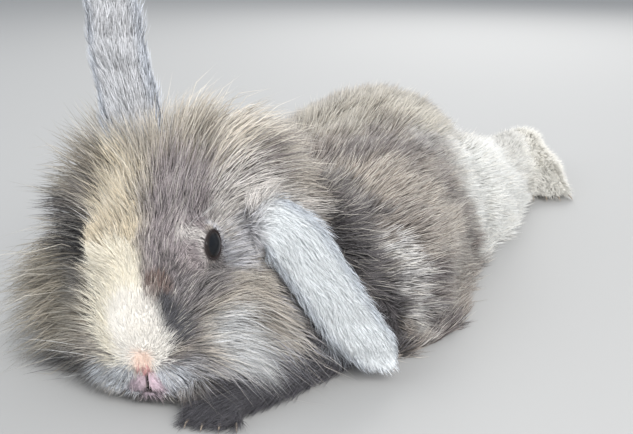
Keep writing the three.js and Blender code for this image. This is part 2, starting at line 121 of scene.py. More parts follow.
def capsule(points, start, end, radius, soft):
    """1 within radius of the line from start to end, falling softly to 0 over the width soft."""
    start, end = np.asarray(start, float), np.asarray(end, float)
    line = end - start
    share = np.clip((points - start) @ line / max(line @ line, 1e-9), 0, 1)
    distance = np.linalg.norm(points - start - share[:, None] * line, axis=1)
    return 1 - soft_step((distance - radius) / soft)


def spline(knots, shares):
    """A smooth curve through evenly spread knots: each piece is a cubic whose slope at a knot is
    half the difference of that knot's neighbours."""
    knots = np.asarray(knots, float)
    ends = np.concatenate([[2 * knots[0] - knots[1]], knots, [2 * knots[-1] - knots[-2]]])
    place = np.clip(np.asarray(shares, float), 0, 1) * (len(knots) - 1)
    at = np.minimum(place.astype(int), len(knots) - 2)
    f = place - at
    if knots.ndim == 2:
        f = f[..., None]
    a, b, c, d = ends[at], ends[at + 1], ends[at + 2], ends[at + 3]
    return b + 0.5 * f * (c - a + f * (2 * a - 5 * b + 4 * c - d + f * (3 * (b - c) + d - a)))


# %% [markdown]
# The head is turned to the rabbit's left and leans a little to its right. Its own millimetres, with
# the nose over the origin and the face towards -y, make every place on the face easy to name.

# %% The head's own frame
HEAD_ORIGIN = (8, -198, 2.5)  # mm, on the floor's side of the nose
HEAD_TURN = 19
HEAD_ROLL = 5

turned = Matrix.Rotation(math.radians(HEAD_TURN), 3, "Z")
head_matrix = np.array(turned @ Matrix.Rotation(math.radians(-HEAD_ROLL), 3, "Y"))


def in_head(points_mm):
    """World millimetres as millimetres of the head's own frame."""
    return (points_mm - np.array(HEAD_ORIGIN)) @ head_matrix


def from_head(points_mm):
    """Millimetres of the head's own frame as world millimetres."""
    return np.asarray(points_mm, float) @ head_matrix.T + HEAD_ORIGIN


print("head turned by", HEAD_TURN, "and leaning by", HEAD_ROLL, "degrees")

# %% [markdown]
# All meshes are made from whole arrays of points in millimetres and read back as such, so that no
# step goes through points one by one. A vertex's normal is the area-weighted mean of its faces'.

# %% Meshes from arrays
def put_mesh(name, points_mm, faces, smooth=True):
    """An object at the origin from points in millimetres and an array of triangles or quads."""
    faces = np.asarray(faces)
    starts = np.arange(0, faces.size, faces.shape[1], dtype=np.int32)
    mesh = bpy.data.meshes.new(name)
    mesh.vertices.add(len(points_mm))
    mesh.vertices.foreach_set("co", (np.asarray(points_mm) * MM).astype(np.float32).ravel())
    mesh.loops.add(faces.size)
    mesh.loops.foreach_set("vertex_index", faces.astype(np.int32).ravel())
    mesh.polygons.add(len(faces))
    mesh.polygons.foreach_set("loop_start", starts)
    mesh.polygons.foreach_set("use_smooth", np.full(len(faces), smooth))
    mesh.update(calc_edges=True)
    thing = bpy.data.objects.new(name, mesh)
    bpy.context.scene.collection.objects.link(thing)
    return thing


def points_of(mesh):
    """The vertices of a mesh in millimetres."""
    flat = np.empty(len(mesh.vertices) * 3, np.float32)
    mesh.vertices.foreach_get("co", flat)
    return flat.reshape(-1, 3).astype(float) / MM


def triangles_of(mesh):
    """The corners of a mesh's triangles, as vertex numbers and as loop numbers."""
    mesh.calc_loop_triangles()
    vertices = np.empty(len(mesh.loop_triangles) * 3, np.int32)
    loops = np.empty_like(vertices)
    mesh.loop_triangles.foreach_get("vertices", vertices)
    mesh.loop_triangles.foreach_get("loops", loops)
    return vertices.reshape(-1, 3), loops.reshape(-1, 3)


def vertex_normals(points, triangles):
    """The outward direction at each vertex: the sum of its triangles' area vectors, as a unit."""
    a, b, c = (points[triangles[:, k]] for k in range(3))
    area = np.cross(b - a, c - a)
    each = np.repeat(area, 3, axis=0)
    total = [np.bincount(triangles.ravel(), each[:, k], len(points)) for k in range(3)]
    return unit(np.stack(total, axis=1))


def move_points(thing, points):
    """Gives a mesh new places for its vertices, in mm."""
    thing.data.vertices.foreach_set("co", (points * MM).astype(np.float32).ravel())
    thing.data.update()


def finished(thing):
    """The object with its modifiers taken into its mesh."""
    shown = thing.evaluated_get(bpy.context.evaluated_depsgraph_get())
    mesh = bpy.data.meshes.new_from_object(shown)
    thing.modifiers.clear()
    thing.data = mesh
    return thing


# %% [markdown]
# Under the coat, trunk, head and limbs are one skin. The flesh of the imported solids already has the
# right places, so copies of them are swollen by a hair's breadth until they overlap, and a voxel
# remesh melts them into one closed surface with no seams. The neck's solid carries locks, so here
# its core is carried along its own few slices instead: upright egg-shaped rings blended into each
# other. Smoothing then takes the facets away.

# %% Flesh
FLESH = (
    "head", "torso", "foreleg_left", "foreleg_right", "hind_leg_left", "hind_leg_right",
    "hind_foot_left", "hind_foot_right", "tail", "eye_left", "eye_right",
)
SWELL = 0.7  # mm, so that neighbours overlap before they are melted together
VOXEL = 1.9  # mm


def merged_solid(node):
    """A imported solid's points in mm and triangles, with the points that lie together made one."""
    points = points_of(node.data)
    triangles, _ = triangles_of(node.data)
    rounded = np.round(points, 3)
    _, first, number = np.unique(rounded, axis=0, return_index=True, return_inverse=True)
    triangles = number.ravel()[triangles]
    whole = (triangles[:, 0] != triangles[:, 1]) & (triangles[:, 1] != triangles[:, 2])
    whole &= triangles[:, 2] != triangles[:, 0]
    return points[first], triangles[whole]


def sliced_body(slices, rings, sides):
    """A closed body through slices (x, y, turn, low, high, half, lean, level). A ring's point at an
    angle lies half times the cosine to the side, and the sine says how far it is from the widest
    level towards high or low. Its height says how much of the lean it takes."""
    shares = np.linspace(0, 1, rings)
    x, y, turn, low, high, half, lean, level = spline(slices, shares).T[..., None]
    angle = np.linspace(0, 2 * math.pi, sides, endpoint=False)[None, :]
    up, across = np.sin(angle), np.cos(angle)
    widest = low + (high - low) * level
    height = np.where(up > 0, widest + (high - widest) * up, widest + (widest - low) * up)
    behind = lean * (height - low) / (high - low)
    turn = np.radians(turn)
    x_out = x + half * across * np.cos(turn) - behind * np.sin(turn)
    y_out = y + half * across * np.sin(turn) + behind * np.cos(turn)
    return closed_tube(np.stack([x_out, y_out, height + 0 * across], axis=-1))


def closed_tube(rings):
    """Rings of points, as an array (rings, sides, 3), joined into a closed surface with a point in
    the middle of each end."""
    count, sides, _ = rings.shape
    points = np.concatenate([rings.reshape(-1, 3), rings[[0, -1]].mean(axis=1)])
    row = np.arange(sides)
    after = (row + 1) % sides
    start = (np.arange(count - 1) * sides)[:, None]
    quad = [start + row, start + after, start + sides + after, start + sides + row]
    a, b, c, d = (part.ravel() for part in quad)
    last = (count - 1) * sides
    first_pole = np.full(sides, count * sides)
    fans = [(first_pole, after, row), (first_pole + 1, last + row, last + after)]
    triangles = np.concatenate([np.stack(part, 1) for part in [(a, b, c), (a, c, d), *fans]])
    corners = points[triangles]
    volume = np.einsum("ij,ij->i", corners[:, 0], np.cross(corners[:, 1], corners[:, 2])).sum()
    return points, triangles if volume > 0 else triangles[:, ::-1]


NECK_RINGS = 24
NECK_SIDES = 40
NECK_SLICES = [
    # x, y, turn, low, high, half, lean, level
    (-2, -180, 18, 18, 66, 26, 20, 0.50),
    (-5, -172, 17, 6, 90, 42, 24, 0.42),
    (-8, -156, 15, 3, 103, 53, 20, 0.40),
    (-12, -138, 12, 2.5, 106, 57, 14, 0.40),
    (-14, -116, 9, 3, 100, 55, 6, 0.40),
    (-12, -96, 5, 12, 84, 42, 0, 0.50),
]

bodies = [merged_solid(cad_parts[name]) for name in FLESH]
bodies.append(sliced_body(NECK_SLICES, NECK_RINGS, NECK_SIDES))
all_points, all_triangles, offset = [], [], 0
for points, triangles in bodies:
    all_points.append(points + SWELL * vertex_normals(points, triangles))
    all_triangles.append(triangles + offset)
    offset += len(points)
skin = put_mesh("skin", np.concatenate(all_points), np.concatenate(all_triangles))
melt = skin.modifiers.new("melt", "REMESH")
melt.mode = "VOXEL"
melt.voxel_size = VOXEL * MM
ease = skin.modifiers.new("ease", "SMOOTH")
ease.factor = 0.5
ease.iterations = 5
finished(skin)
print("melted skin has", len(skin.data.vertices), "points")

# %% [markdown]
# Where two solids met at an angle, the melted skin still has a sharp crease that no furred body
# shows. Along these stretches each point is drawn towards its neighbours many times over, which
# fills the crease and rounds the ridge beside it.

# %% Softened creases
def relaxed(thing, share, times):
    """The points of a mesh in mm, each moved so many times towards the mean of its neighbours by
    half its share."""
    points = points_of(thing.data)
    edges = np.empty(2 * len(thing.data.edges), np.int32)
    thing.data.edges.foreach_get("vertices", edges)
    other = edges.reshape(-1, 2)[:, ::-1].ravel()
    counts = np.bincount(edges, minlength=len(points))[:, None]
    for _ in range(times):
        total = [np.bincount(edges, points[other, k], minlength=len(points)) for k in range(3)]
        points = blend(points, np.stack(total, axis=1) / counts, 0.5 * share[:, None])
    return points


CREASES = [
    # start, end, radius and soft edge: the right haunch's edge and both hind feet
    ((-62, 14, 54), (-50, 118, 58), 26, 12),
    ((30, 240, 14), (80, 164, 7), 22, 12),
    ((-70, 106, 12), (-80, 44, 8), 20, 12),
]
CREASE_TIMES = 50
points = points_of(skin.data)
creased = np.max([capsule(points, *crease) for crease in CREASES], axis=0)
move_points(skin, relaxed(skin, creased, CREASE_TIMES))
print(int((creased > 0.5).sum()), "points softened")

# %% [markdown]
# The coat isn't the same all over. Each zone of the trunk and limbs is a soft capsule along one
# stretch of the body, with the coat's depth, the length and half width of its tufts, how far they
# stand off at the root and at the tip in degrees, how many grow on a square millimetre, how wide
# the locks are that they gather into, and the way the hair runs. The first word of a zone's name
# says which coat its hair belongs to. Face and mane follow below.

# %% Zones of the coat
TRUNK = {
    "depth": 8.5, "length": 13, "half": 0.33, "lift": 56, "settle": 30, "density": 0.83,
    "lock": 4.6, "lie": (0.1, 1, -0.3),
}
SHORT = {
    "depth": 2.6, "length": 7, "half": 0.3, "lift": 34, "settle": 8, "density": 0.9, "lock": 3,
}
ZONES = {
    "haunch_right": {
        "start": (-56, 30, 30), "end": (-46, 108, 34), "radius": 34, "soft": 14,
        "depth": 8, "length": 14, "lie": (-0.15, 1, -0.5),
    },
    "haunch_left": {
        "start": (36, 66, 28), "end": (40, 140, 22), "radius": 36, "soft": 14,
        "depth": 8, "length": 13, "density": 0.75, "lie": (0.25, 1, -0.1),
    },
    "shank_left": {
        "start": (40, 160, 20), "end": (30, 224, 20), "radius": 20, "soft": 10,
        "depth": 5, "length": 10, "density": 0.8, "half": 0.33, "lie": (-0.15, 1, -0.1),
    },
    "foot_left": {
        **SHORT, "start": (28, 243, 14), "end": (78, 166, 6), "radius": 17, "soft": 6,
        "length": 10, "lift": 56, "settle": 34, "density": 1.2, "half": 0.28, "lock": 3.4,
        "lie": (0.56, -0.83, -0.1),
    },
    "foot_right": {
        **SHORT, "start": (-70, 106, 12), "end": (-81, 16, 6), "radius": 16, "soft": 6,
        "length": 9, "lift": 46, "settle": 20, "half": 0.27, "lie": (-0.07, -1, -0.1),
    },
    "foreleg_left": {
        **SHORT, "start": (60, -112, 13), "end": (33, -197, 5), "radius": 15, "soft": 6,
        "length": 9, "lift": 36, "settle": 10, "lie": (-0.25, -0.97, -0.1),
    },
    "foreleg_right": {
        **SHORT, "start": (-61, -112, 13), "end": (-48, -178, 5), "radius": 15, "soft": 6,
        "length": 9, "lift": 36, "settle": 10, "lie": (0.15, -0.98, -0.1),
    },
    "body_nape": {
        "start": (6, -72, 84), "end": (16, -30, 93), "radius": 16, "soft": 16,
        "depth": 11.5, "length": 12, "lie": (0.1, 1, -0.1),
    },
    "body_flank": {
        "start": (90, -72, 12), "end": (94, -8, 26), "radius": 16, "soft": 16,
        "depth": 10, "length": 12, "lie": (0.15, 1, -0.3),
    },
    "tail": {
        "start": (-6, 136, 38), "end": (-11, 180, 16), "radius": 18, "soft": 8,
        "depth": 7, "length": 18, "lift": 50, "settle": 30, "density": 0.6, "lie": (-0.1, 1, 0.1),
    },
}
FORELEGS = ["foreleg_left", "foreleg_right"]
FORELEG_BARE = (14, 5)  # mm, the radius and the soft edge where no hair of the head is rooted
FACE = {"half": 0.2, "density": 2.0, "lock": 3}
MANE = {"depth": 11, "half": 0.28, "density": 1.15, "lock": 6}
RIGHT_MANE = 0.45  # more of it on the head's right side, where it is longest
MUZZLE = {"half": 0.17, "density": 1.7}  # the density as a multiple of the face's
LIP_HAIR = {"half": 0.13, "length": 1.3}
EYE_PLACE = np.array([22.1, 26.2, 61.9])  # the left eye's middle in the head's frame
EYE_RADIUS = 7.9
PRESSED_DEPTH = 0.8  # mm, of the coat where the body rests on the floor
PRESSED_LENGTH = 5
PRESSED_DENSITY = 0.12
TUCK = 6  # mm that the left flank is drawn in beside the floor
TUCK_PLACE = ((84, -76, 4), (86, -6, 10), 20, 14)


def from_eye(local):
    """Each place of the head's frame, taken to its left side, as seen from the eye's middle."""
    return np.stack([np.abs(local[:, 0]), local[:, 1], local[:, 2]], axis=1) - EYE_PLACE


def eye_distance(local):
    """How far a point of the head's frame is from the nearer eye's middle."""
    return np.linalg.norm(from_eye(local), axis=1)


def zone_share(points, zone):
    """How much each point belongs to a zone."""
    return capsule(points, zone["start"], zone["end"], zone["radius"], zone["soft"])


def pressed_down(points, normals, height):
    """How much each point faces the floor, below that height in mm."""
    return soft_step((-normals[:, 2] - 0.4) / 0.4) * soft_step((height - points[:, 2]) / 4)


def head_shares(points):
    """How much each point belongs to the face and to the mane, and its place on the head."""
    local = in_head(points)
    temple = soft_step((local[:, 0] - 16) / 12) * (1 - soft_step((local[:, 2] - 72) / 12))
    temple *= soft_step((local[:, 2] - 36) / 10)
    front = 1 - soft_step((local[:, 1] - 0.22 * (local[:, 2] - 54) - 34 - 16 * temple) / 16)
    head = capsule(local, (0, 10, 24), (0, 56, 52), 44, 8)
    neck = capsule(points, (-4, -164, 52), (-12, -108, 50), 62, 8)
    trunk = soft_step((points[:, 1] + 118) / 30)
    spans = [(ZONES[name]["start"], ZONES[name]["end"]) for name in FORELEGS]
    free = 1 - np.maximum(*[capsule(points, *span, *FORELEG_BARE) for span in spans])
    return local, head * front * free, np.maximum(neck, head) * (1 - front) * (1 - trunk) * free


def coat_depth(points, normals):
    """How far the skin lies inside the solids, in mm."""
    depth = np.full(len(points), float(TRUNK["depth"]))
    local, face, mane = head_shares(points)
    depth = blend(depth, MANE["depth"], mane)
    depth = blend(depth, 1.1 + 0.09 * np.clip(local[:, 1], 0, 40), face)
    for zone in ZONES.values():
        depth = blend(depth, zone.get("depth", TRUNK["depth"]), zone_share(points, zone))
    depth = blend(0.5, depth, soft_step((eye_distance(local) - 9) / 7))
    return blend(depth, PRESSED_DEPTH, pressed_down(points, normals, 5))


points = points_of(skin.data)
triangles, _ = triangles_of(skin.data)
normals = vertex_normals(points, triangles)
points -= normals * coat_depth(points, normals)[:, None]
points[:, 0] -= TUCK * capsule(points, *TUCK_PLACE) * soft_step((points[:, 0] - 66) / 22)
move_points(skin, points)
print("skin lies", TRUNK["depth"], "mm deep on the trunk and", MANE["depth"], "mm under the mane")

# %% [markdown]
# The muzzle carries the finest forms of the whole body: a dome over the nose, a fold under it that
# ends in a slit of a nostril on each side, the cleft of the upper lip with a small lip on each side
# of it, and the mouth. The voxel skin is too coarse for them, so its faces are divided twice there,
# and each line is pressed in as a groove of a given depth and width along a short path. The dome's
# rim and the lips are raised in the same way.

# %% Nose and mouth
FOLD = [(0, 16.6), (4, 17.8), (10, 21.4), (18, 25.6)]  # in x and z of the head's frame
CLEFT = [(0, 17), (0, 12), (0, 7.5)]
MOUTH = [(0, 7.6), (4, 6.4), (9, 8.2), (14, 11)]
LIP = (3.4, 11.6)
FOLD_DEPTH, FOLD_WIDTH = 1.9, 1.0
CLEFT_DEPTH, CLEFT_WIDTH = 1.7, 0.7
MOUTH_DEPTH, MOUTH_WIDTH = 2.6, 1.0
RIM_HEIGHT, RIM_WIDTH = 1.1, 2.0
LIP_HEIGHT, LIP_WIDTH = 0.9, 2.8


def refine(thing, chosen, times):
    """Divides the chosen faces of a mesh, given as a function of their middles in mm."""
    grown = bmesh.new()
    grown.from_mesh(thing.data)
    for _ in range(times):
        grown.faces.ensure_lookup_table()
        middles = np.array([face.calc_center_median() for face in grown.faces]) / MM
        faces = [grown.faces[number] for number in np.flatnonzero(chosen(middles))]
        edges = {edge for face in faces for edge in face.edges}
        bmesh.ops.subdivide_edges(grown, edges=list(edges), cuts=1, use_grid_fill=True)
    bmesh.ops.triangulate(grown, faces=[face for face in grown.faces if len(face.verts) > 4])
    grown.to_mesh(thing.data)
    grown.free()


def muzzle(points_mm):
    """Whether each point is on the front of the muzzle."""
    x, y, z = in_head(points_mm).T
    return (y < 16) & (np.abs(x) < 20) & (z < 30) & (z > 1)


def path_distance(local, path):
    """Distance of points from a smooth path across the face and from its mirror image, seen from
    the front."""
    flat = np.stack([np.abs(local[:, 0]), local[:, 2]], axis=1)
    line = spline(path, np.linspace(0, 1, 40))
    return np.linalg.norm(flat[:, None, :] - line[None], axis=2).min(axis=1)


def hollow(distance, width):
    """A bell, e to the power of minus the square of distance over width. It is 1 on the line and
    near 0 two widths away."""
    return np.exp(-((distance / width) ** 2))


def carve(local):
    """How far each point of the muzzle is pressed in, in mm."""
    above = local[:, 2] - (16.8 + 0.029 * local[:, 0] ** 2)
    rim = RIM_HEIGHT * hollow(above - 2.6, RIM_WIDTH) * soft_step((19 - np.abs(local[:, 0])) / 6)
    lips = LIP_HEIGHT * hollow(path_distance(local, [LIP, LIP]), LIP_WIDTH)
    pressed = FOLD_DEPTH * hollow(path_distance(local, FOLD), FOLD_WIDTH) - rim - lips
    pressed += CLEFT_DEPTH * hollow(path_distance(local, CLEFT), CLEFT_WIDTH)
    pressed += MOUTH_DEPTH * hollow(path_distance(local, MOUTH), MOUTH_WIDTH)
    return pressed * soft_step((15 - local[:, 1]) / 6)


refine(skin, muzzle, 2)
points = points_of(skin.data)
local = in_head(points)
near = np.flatnonzero(muzzle(points))
local[near, 1] += carve(local[near])
points[near] = from_head(local[near])
move_points(skin, points)
print("muzzle has", len(near), "points")

# %% [markdown]
# An eye looks out to the side and a little forward. The skin round it becomes the lids: seen from
# the eyeball's middle, points inside an oval of angles sink behind the ball, and points just
# outside it rise to a rim a little above the ball.

# %% Lids
GAZE = unit(np.array([math.cos(math.radians(10)), -math.sin(math.radians(10)), 0.06]))
EYE_ALONG = unit(np.cross(GAZE, [0, 0, 1]))
EYE_UP = np.cross(EYE_ALONG, GAZE)
OPENING = (math.radians(43), math.radians(40))  # half angles of the opening, along and up
LID = 8.7  # mm from the eyeball's middle to the lids' rim
SUNK = 6.2  # mm from it to the skin behind the ball


def eye_angles(local, side):
    """Distance from an eye's middle, the angle from the gaze, and that angle as a share of the
    opening's, which is 1 on the rim: the root of the summed squares of the angle's two parts, each
    over the opening's half angle that way."""
    ways = local * [side, 1, 1] - EYE_PLACE
    distance = np.linalg.norm(ways, axis=1)
    ways = unit(ways)
    angle = np.arccos(np.clip(ways @ GAZE, -1, 1))
    part = unit(np.stack([ways @ EYE_ALONG, ways @ EYE_UP], axis=1)) * angle[:, None]
    return distance, angle, np.hypot(part[:, 0] / OPENING[0], part[:, 1] / OPENING[1])


def round_eyes(points_mm):
    """Whether each point is near an eye."""
    return eye_distance(in_head(points_mm)) < 12.5


refine(skin, round_eyes, 2)
points = points_of(skin.data)
local = in_head(points)
for side in (1, -1):
    distance, angle, share = eye_angles(local, side)
    near = (1 - soft_step((distance - 9.5) / 2.5)) * (1 - soft_step((angle - 1.3) / 0.4))
    near *= local[:, 0] * side > 0
    raised = np.maximum(distance, LID - 1.2 * soft_step((share - 1.1) / 0.9))
    wanted = blend(SUNK, raised, soft_step((share - 0.96) / 0.14))
    change = blend(1, wanted / np.maximum(distance, 1e-6), near)[:, None]
    local = (EYE_PLACE + (local * [side, 1, 1] - EYE_PLACE) * change) * [side, 1, 1]
move_points(skin, from_head(local))
print("lids stand", round(LID - EYE_RADIUS, 2), "mm above the eyeballs")

# %% [markdown]
# An ear is a leaf whose edges curl up into a cup. It is thinner than a voxel, so it is worked out
# on a grid of its own, share along the path by share across, and then joined to the skin by a
# Boolean union. The right ear stands, and the left one hangs from a root that swings out and down.

# %% Ears
EAR_HALF_WIDTH = 13
EAR_WALL = 1.5
EARS = {
    "left": {
        "path": [
            (14, -139, 66), (26, -143, 71), (38, -144, 70), (48, -142, 61), (58, -141, 48),
            (70, -138, 31), (86, -129, 9),
        ],
        "facing": (-0.45, 0.8, -0.41),
    },
    "right": {
        "path": [
            (-24, -154, 78), (-30, -155, 100), (-34, -155, 122), (-38, -154, 148), (-41, -150, 177),
        ],
        "facing": (-0.5, 1, 0.1),
    },
}
EAR_OUTLINE = [0.68, 0.88, 1.0, 1.0, 0.96, 0.9, 0.8, 0.64]
EAR_CUP = [0.2, 0.5, 0.6, 0.5, 0.42, 0.34, 0.25, 0.1]


def ear_frame(ear, shares):
    """An ear's middle line, direction along it, side and opening direction at shares of its
    path."""
    dense = spline(ear["path"], np.linspace(0, 1, 400))
    run = np.concatenate([[0], np.cumsum(np.linalg.norm(np.diff(dense, axis=0), axis=1))])
    place = np.asarray(shares) * run[-1]
    middle = np.stack([np.interp(place, run, dense[:, k]) for k in range(3)], axis=1)
    slope = np.gradient(dense, axis=0)
    along = unit(np.stack([np.interp(place, run, slope[:, k]) for k in range(3)], axis=1))
    side = unit(np.cross(along, np.asarray(ear["facing"], float)))
    return middle, along, side, unit(np.cross(side, along))


def ear_half(t):
    """Half the ear's width at share t of its length, rounded off at the tip."""
    return spline(EAR_OUTLINE, t) * EAR_HALF_WIDTH * np.sqrt(np.clip((1.005 - t) / 0.1, 0, 1))


def ear_leaf(ear, rings=60, across=16):
    """A closed leaf. At share t along and u across, from -1 to 1, it is the middle line, plus u
    times the half width to the side, plus the cup times the half width times the square of u and
    half the wall, out or in, along the opening."""
    t = np.linspace(0, 1, rings)
    middle, _, side, opening = ear_frame(ear, t)
    half = ear_half(t)
    u = np.concatenate([np.linspace(1, -1, across), np.linspace(-1, 1, across)[1:-1]])
    face = np.concatenate([-np.ones(across), np.ones(across - 2)])
    wall = 0.5 * EAR_WALL * face * np.sqrt(1 - 0.97 * u**4)
    root = (1 + 1.2 * np.exp(-t / 0.08))[:, None]
    lift = (spline(EAR_CUP, t) * half)[:, None] * u**2 + wall * root
    points = middle[:, None] + (half[:, None] * u)[..., None] * side[:, None]
    return closed_tube(points + lift[..., None] * opening[:, None])


for name, ear in EARS.items():
    leaf = put_mesh("ear_skin_" + name, *ear_leaf(ear))
    join = skin.modifiers.new("ear", "BOOLEAN")
    join.operation = "UNION"
    join.solver = "MANIFOLD"
    join.object = leaf
    finished(skin)
    bpy.data.objects.remove(leaf)
print("skin with ears has", len(skin.data.vertices), "points,", len(skin.data.polygons), "faces")

# %% [markdown]
# The skin is unwrapped flat once, in charts that follow its own shape. Every tuft of the coat later
# takes a tiny patch of that map at its root's place, so that coat and skin share one map.

# %% Unwrap
BAKE_MAP = "OFBake"
bpy.context.view_layer.objects.active = skin
skin.select_set(True)
bpy.ops.object.mode_set(mode="EDIT")
bpy.ops.mesh.select_all(action="SELECT")
bpy.ops.mesh.quads_convert_to_tris()
bpy.ops.uv.smart_project(angle_limit=1.15, island_margin=0.002)
bpy.ops.object.mode_set(mode="OBJECT")
skin.select_set(False)
skin.data.uv_layers[0].name = BAKE_MAP
skin.data.polygons.foreach_set("use_smooth", np.ones(len(skin.data.polygons), bool))
print("unwrapped", len(skin.data.polygons), "triangles")

# %% [markdown]
# Face and mane are groomed from a list of places on the head, each with the way its hair
# points and its length. Between them, ways and lengths are averaged with bell-shaped weights. The
# hair runs from the nose outwards, stays short round the muzzle and eyes, stands up in a crest
# between the ears, and hangs longest on the rabbit's right cheek.

# %% Grooming
GROOM_REACH = 10  # mm, the width of the bell
GROOM = np.array([
    # place in the head's frame, way, length
    (0, 0, 30, 0, 0.6, 0.8, 2.4),
    (0, 6, 46, 0, 0.5, 0.85, 3.8),
    (0, 16, 66, 0, 0.45, 0.9, 6.5),
    (0, 32, 83, 0, 0.35, 0.95, 14),
    (-6, 48, 92, -0.05, -0.05, 1, 41),
    (14, 52, 90, 0.25, 0, 0.97, 40),
    (-22, 48, 86, -0.4, -0.1, 0.92, 46),
    (14, 35, 84, 0.2, 0.45, 0.88, 14),
    (-18, 34, 82, -0.2, 0.1, 0.97, 21),
    (12, 3, 14, 0.85, 0.2, -0.35, 8),
    (-12, 3, 14, -0.85, 0.2, -0.4, 8),
    (0, 3, 8, 0, 0.3, -1, 1.6),
    (9, 4, 5, 0.6, 0.4, -0.6, 4),
    (-9, 4, 5, -0.6, 0.4, -0.6, 4),
    (0, 5, 3, 0.15, 0.4, -0.9, 5),
    (0, 24, 1, 0.2, 0.7, -0.6, 12),
    # the rabbit's left side
    (17, 14, 58, 0.3, 0.4, 0.85, 8),
    (24, 30, 75, 0.5, 0.5, 0.7, 11),
    (33, 38, 64, 0.78, 0.6, 0, 11),
    (30, 26, 49, 0.8, 0.5, -0.1, 10),
    (16, 8, 42, 0.7, 0.5, 0.5, 5.5),
    (34, 32, 36, 0.88, 0.15, -0.25, 24),
    (32, 26, 24, 0.9, -0.15, -0.3, 47),
    (22, 14, 13, 0.9, -0.12, -0.28, 47),
    (20, 10, 4, 0.9, 0, -0.2, 27),
    (38, 54, 60, 0.75, 0.6, -0.1, 17),
    (42, 58, 34, 0.78, 0.3, -0.45, 40),
    (32, 44, 12, 0.9, -0.1, -0.25, 48),
    (26, 62, 88, 0.78, 0.25, 0.5, 46),
    (8, 70, 92, 0.25, 0.6, 0.75, 40),
    # its right side
    (-17, 14, 58, -0.3, 0.4, 0.8, 6),
    (-24, 28, 75, -0.8, -0.05, 0.6, 17),
    (-33, 38, 66, -0.9, 0, 0.3, 28),
    (-30, 22, 50, -0.95, 0.1, 0.1, 19),
    (-16, 8, 42, -0.7, 0.4, 0.5, 4.5),
    (-34, 32, 36, -0.97, 0, 0.05, 63),
    (-32, 26, 24, -0.96, 0, -0.12, 61),
    (-22, 14, 13, -0.85, 0.1, -0.5, 28),
    (-42, 54, 66, -0.85, -0.05, 0.5, 44),
    (-38, 60, 80, -0.55, -0.04, 0.85, 54),
    (-27, 23, 70, -0.88, -0.1, 0.45, 15),
    (-29, 19, 55, -0.96, 0, 0.05, 15),
    (-44, 58, 34, -0.97, 0.04, 0.05, 78),
    (-32, 44, 12, -0.9, 0.15, -0.35, 46),
    (-30, 64, 90, -0.34, 0.1, 0.94, 50),
    # the back of the neck, which the trunk's coat meets
    (0, 92, 90, 0, 0.95, 0.12, 34),
    (-20, 82, 92, -0.3, 0.9, 0.25, 34),
    (20, 82, 90, 0.4, 0.88, 0.2, 36),
    (-50, 76, 68, -0.7, 0.65, 0.2, 36),
    (-50, 74, 36, -0.75, 0.6, -0.1, 38),
    (40, 92, 60, 0.65, 0.65, -0.25, 44),
    (-46, 92, 60, -0.55, 0.8, -0.15, 28),
    (40, 84, 20, 0.6, 0.7, -0.4, 26),
    (-46, 84, 20, -0.65, 0.65, -0.4, 30),
])


def groomed(local):
    """The way of the hair in the head's frame and its length: the rows' averages, each row with a
    bell for its weight, e to the power of minus its squared distance over twice the squared
    reach."""
    gaps = np.stack([np.sum((local - row[:3]) ** 2, axis=1) for row in GROOM], axis=1)
    weight = np.exp(-(gaps - gaps.min(axis=1, keepdims=True)) / (2 * GROOM_REACH**2))
    weight /= weight.sum(axis=1, keepdims=True)
    return unit(weight @ GROOM[:, 3:6]), weight @ GROOM[:, 6]


def tangent(ways, normals):
    """The part of each direction that lies in the surface, as a unit."""
    return unit(ways - dot(ways, normals)[:, None] * normals)


def ear_shares(points, ear):
    """How much each point belongs to the ear, the ear's direction and opening there, the distance
    from its middle line as a share of its half width, and the share of its length."""
    t = np.linspace(0, 1, 60)
    middle, along, _, opening = ear_frame(ear, t)
    gaps = np.stack([np.sum((points - place) ** 2, axis=1) for place in middle], axis=1)
    nearest = gaps.argmin(axis=1)
    gap = np.sqrt(gaps.min(axis=1))
    share = (1 - soft_step((gap - 15) / 3)) * soft_step((t[nearest] - 0.1) / 0.1)
    edge = gap / np.maximum(ear_half(t), 1)[nearest]
    return share, along[nearest], opening[nearest], edge, t[nearest]


def lie_on(lie, normals):
    """A way of lying, turned into the surface at each point."""
    return tangent(np.tile(np.array(lie, float), (len(normals), 1)), normals)


def trunk_hair(points, normals):
    """The hair of trunk and limbs: a dictionary of its measures, its directions at the root and at
    the tip, and the name of its coat."""
    hair = {key: np.full(len(points), float(TRUNK[key])) for key in TRUNK if key != "lie"}
    lie = lie_on(TRUNK["lie"], normals)
    coat_of = np.full(len(points), "body", dtype="U8")
    for name, zone in ZONES.items():
        share = zone_share(points, zone)
        for key in hair:
            hair[key] = blend(hair[key], zone.get(key, TRUNK[key]), share)
        lie = unit(blend(lie, lie_on(zone["lie"], normals), share[:, None]))
        coat_of[share > 0.5] = name.split("_")[0]
    lift, settle = (np.radians(hair[key])[:, None] for key in ("lift", "settle"))
    at_root = lie * np.cos(lift) + normals * np.sin(lift)
    at_tip = lie * np.cos(settle) + normals * np.sin(settle)
    return hair, at_root, at_tip, coat_of


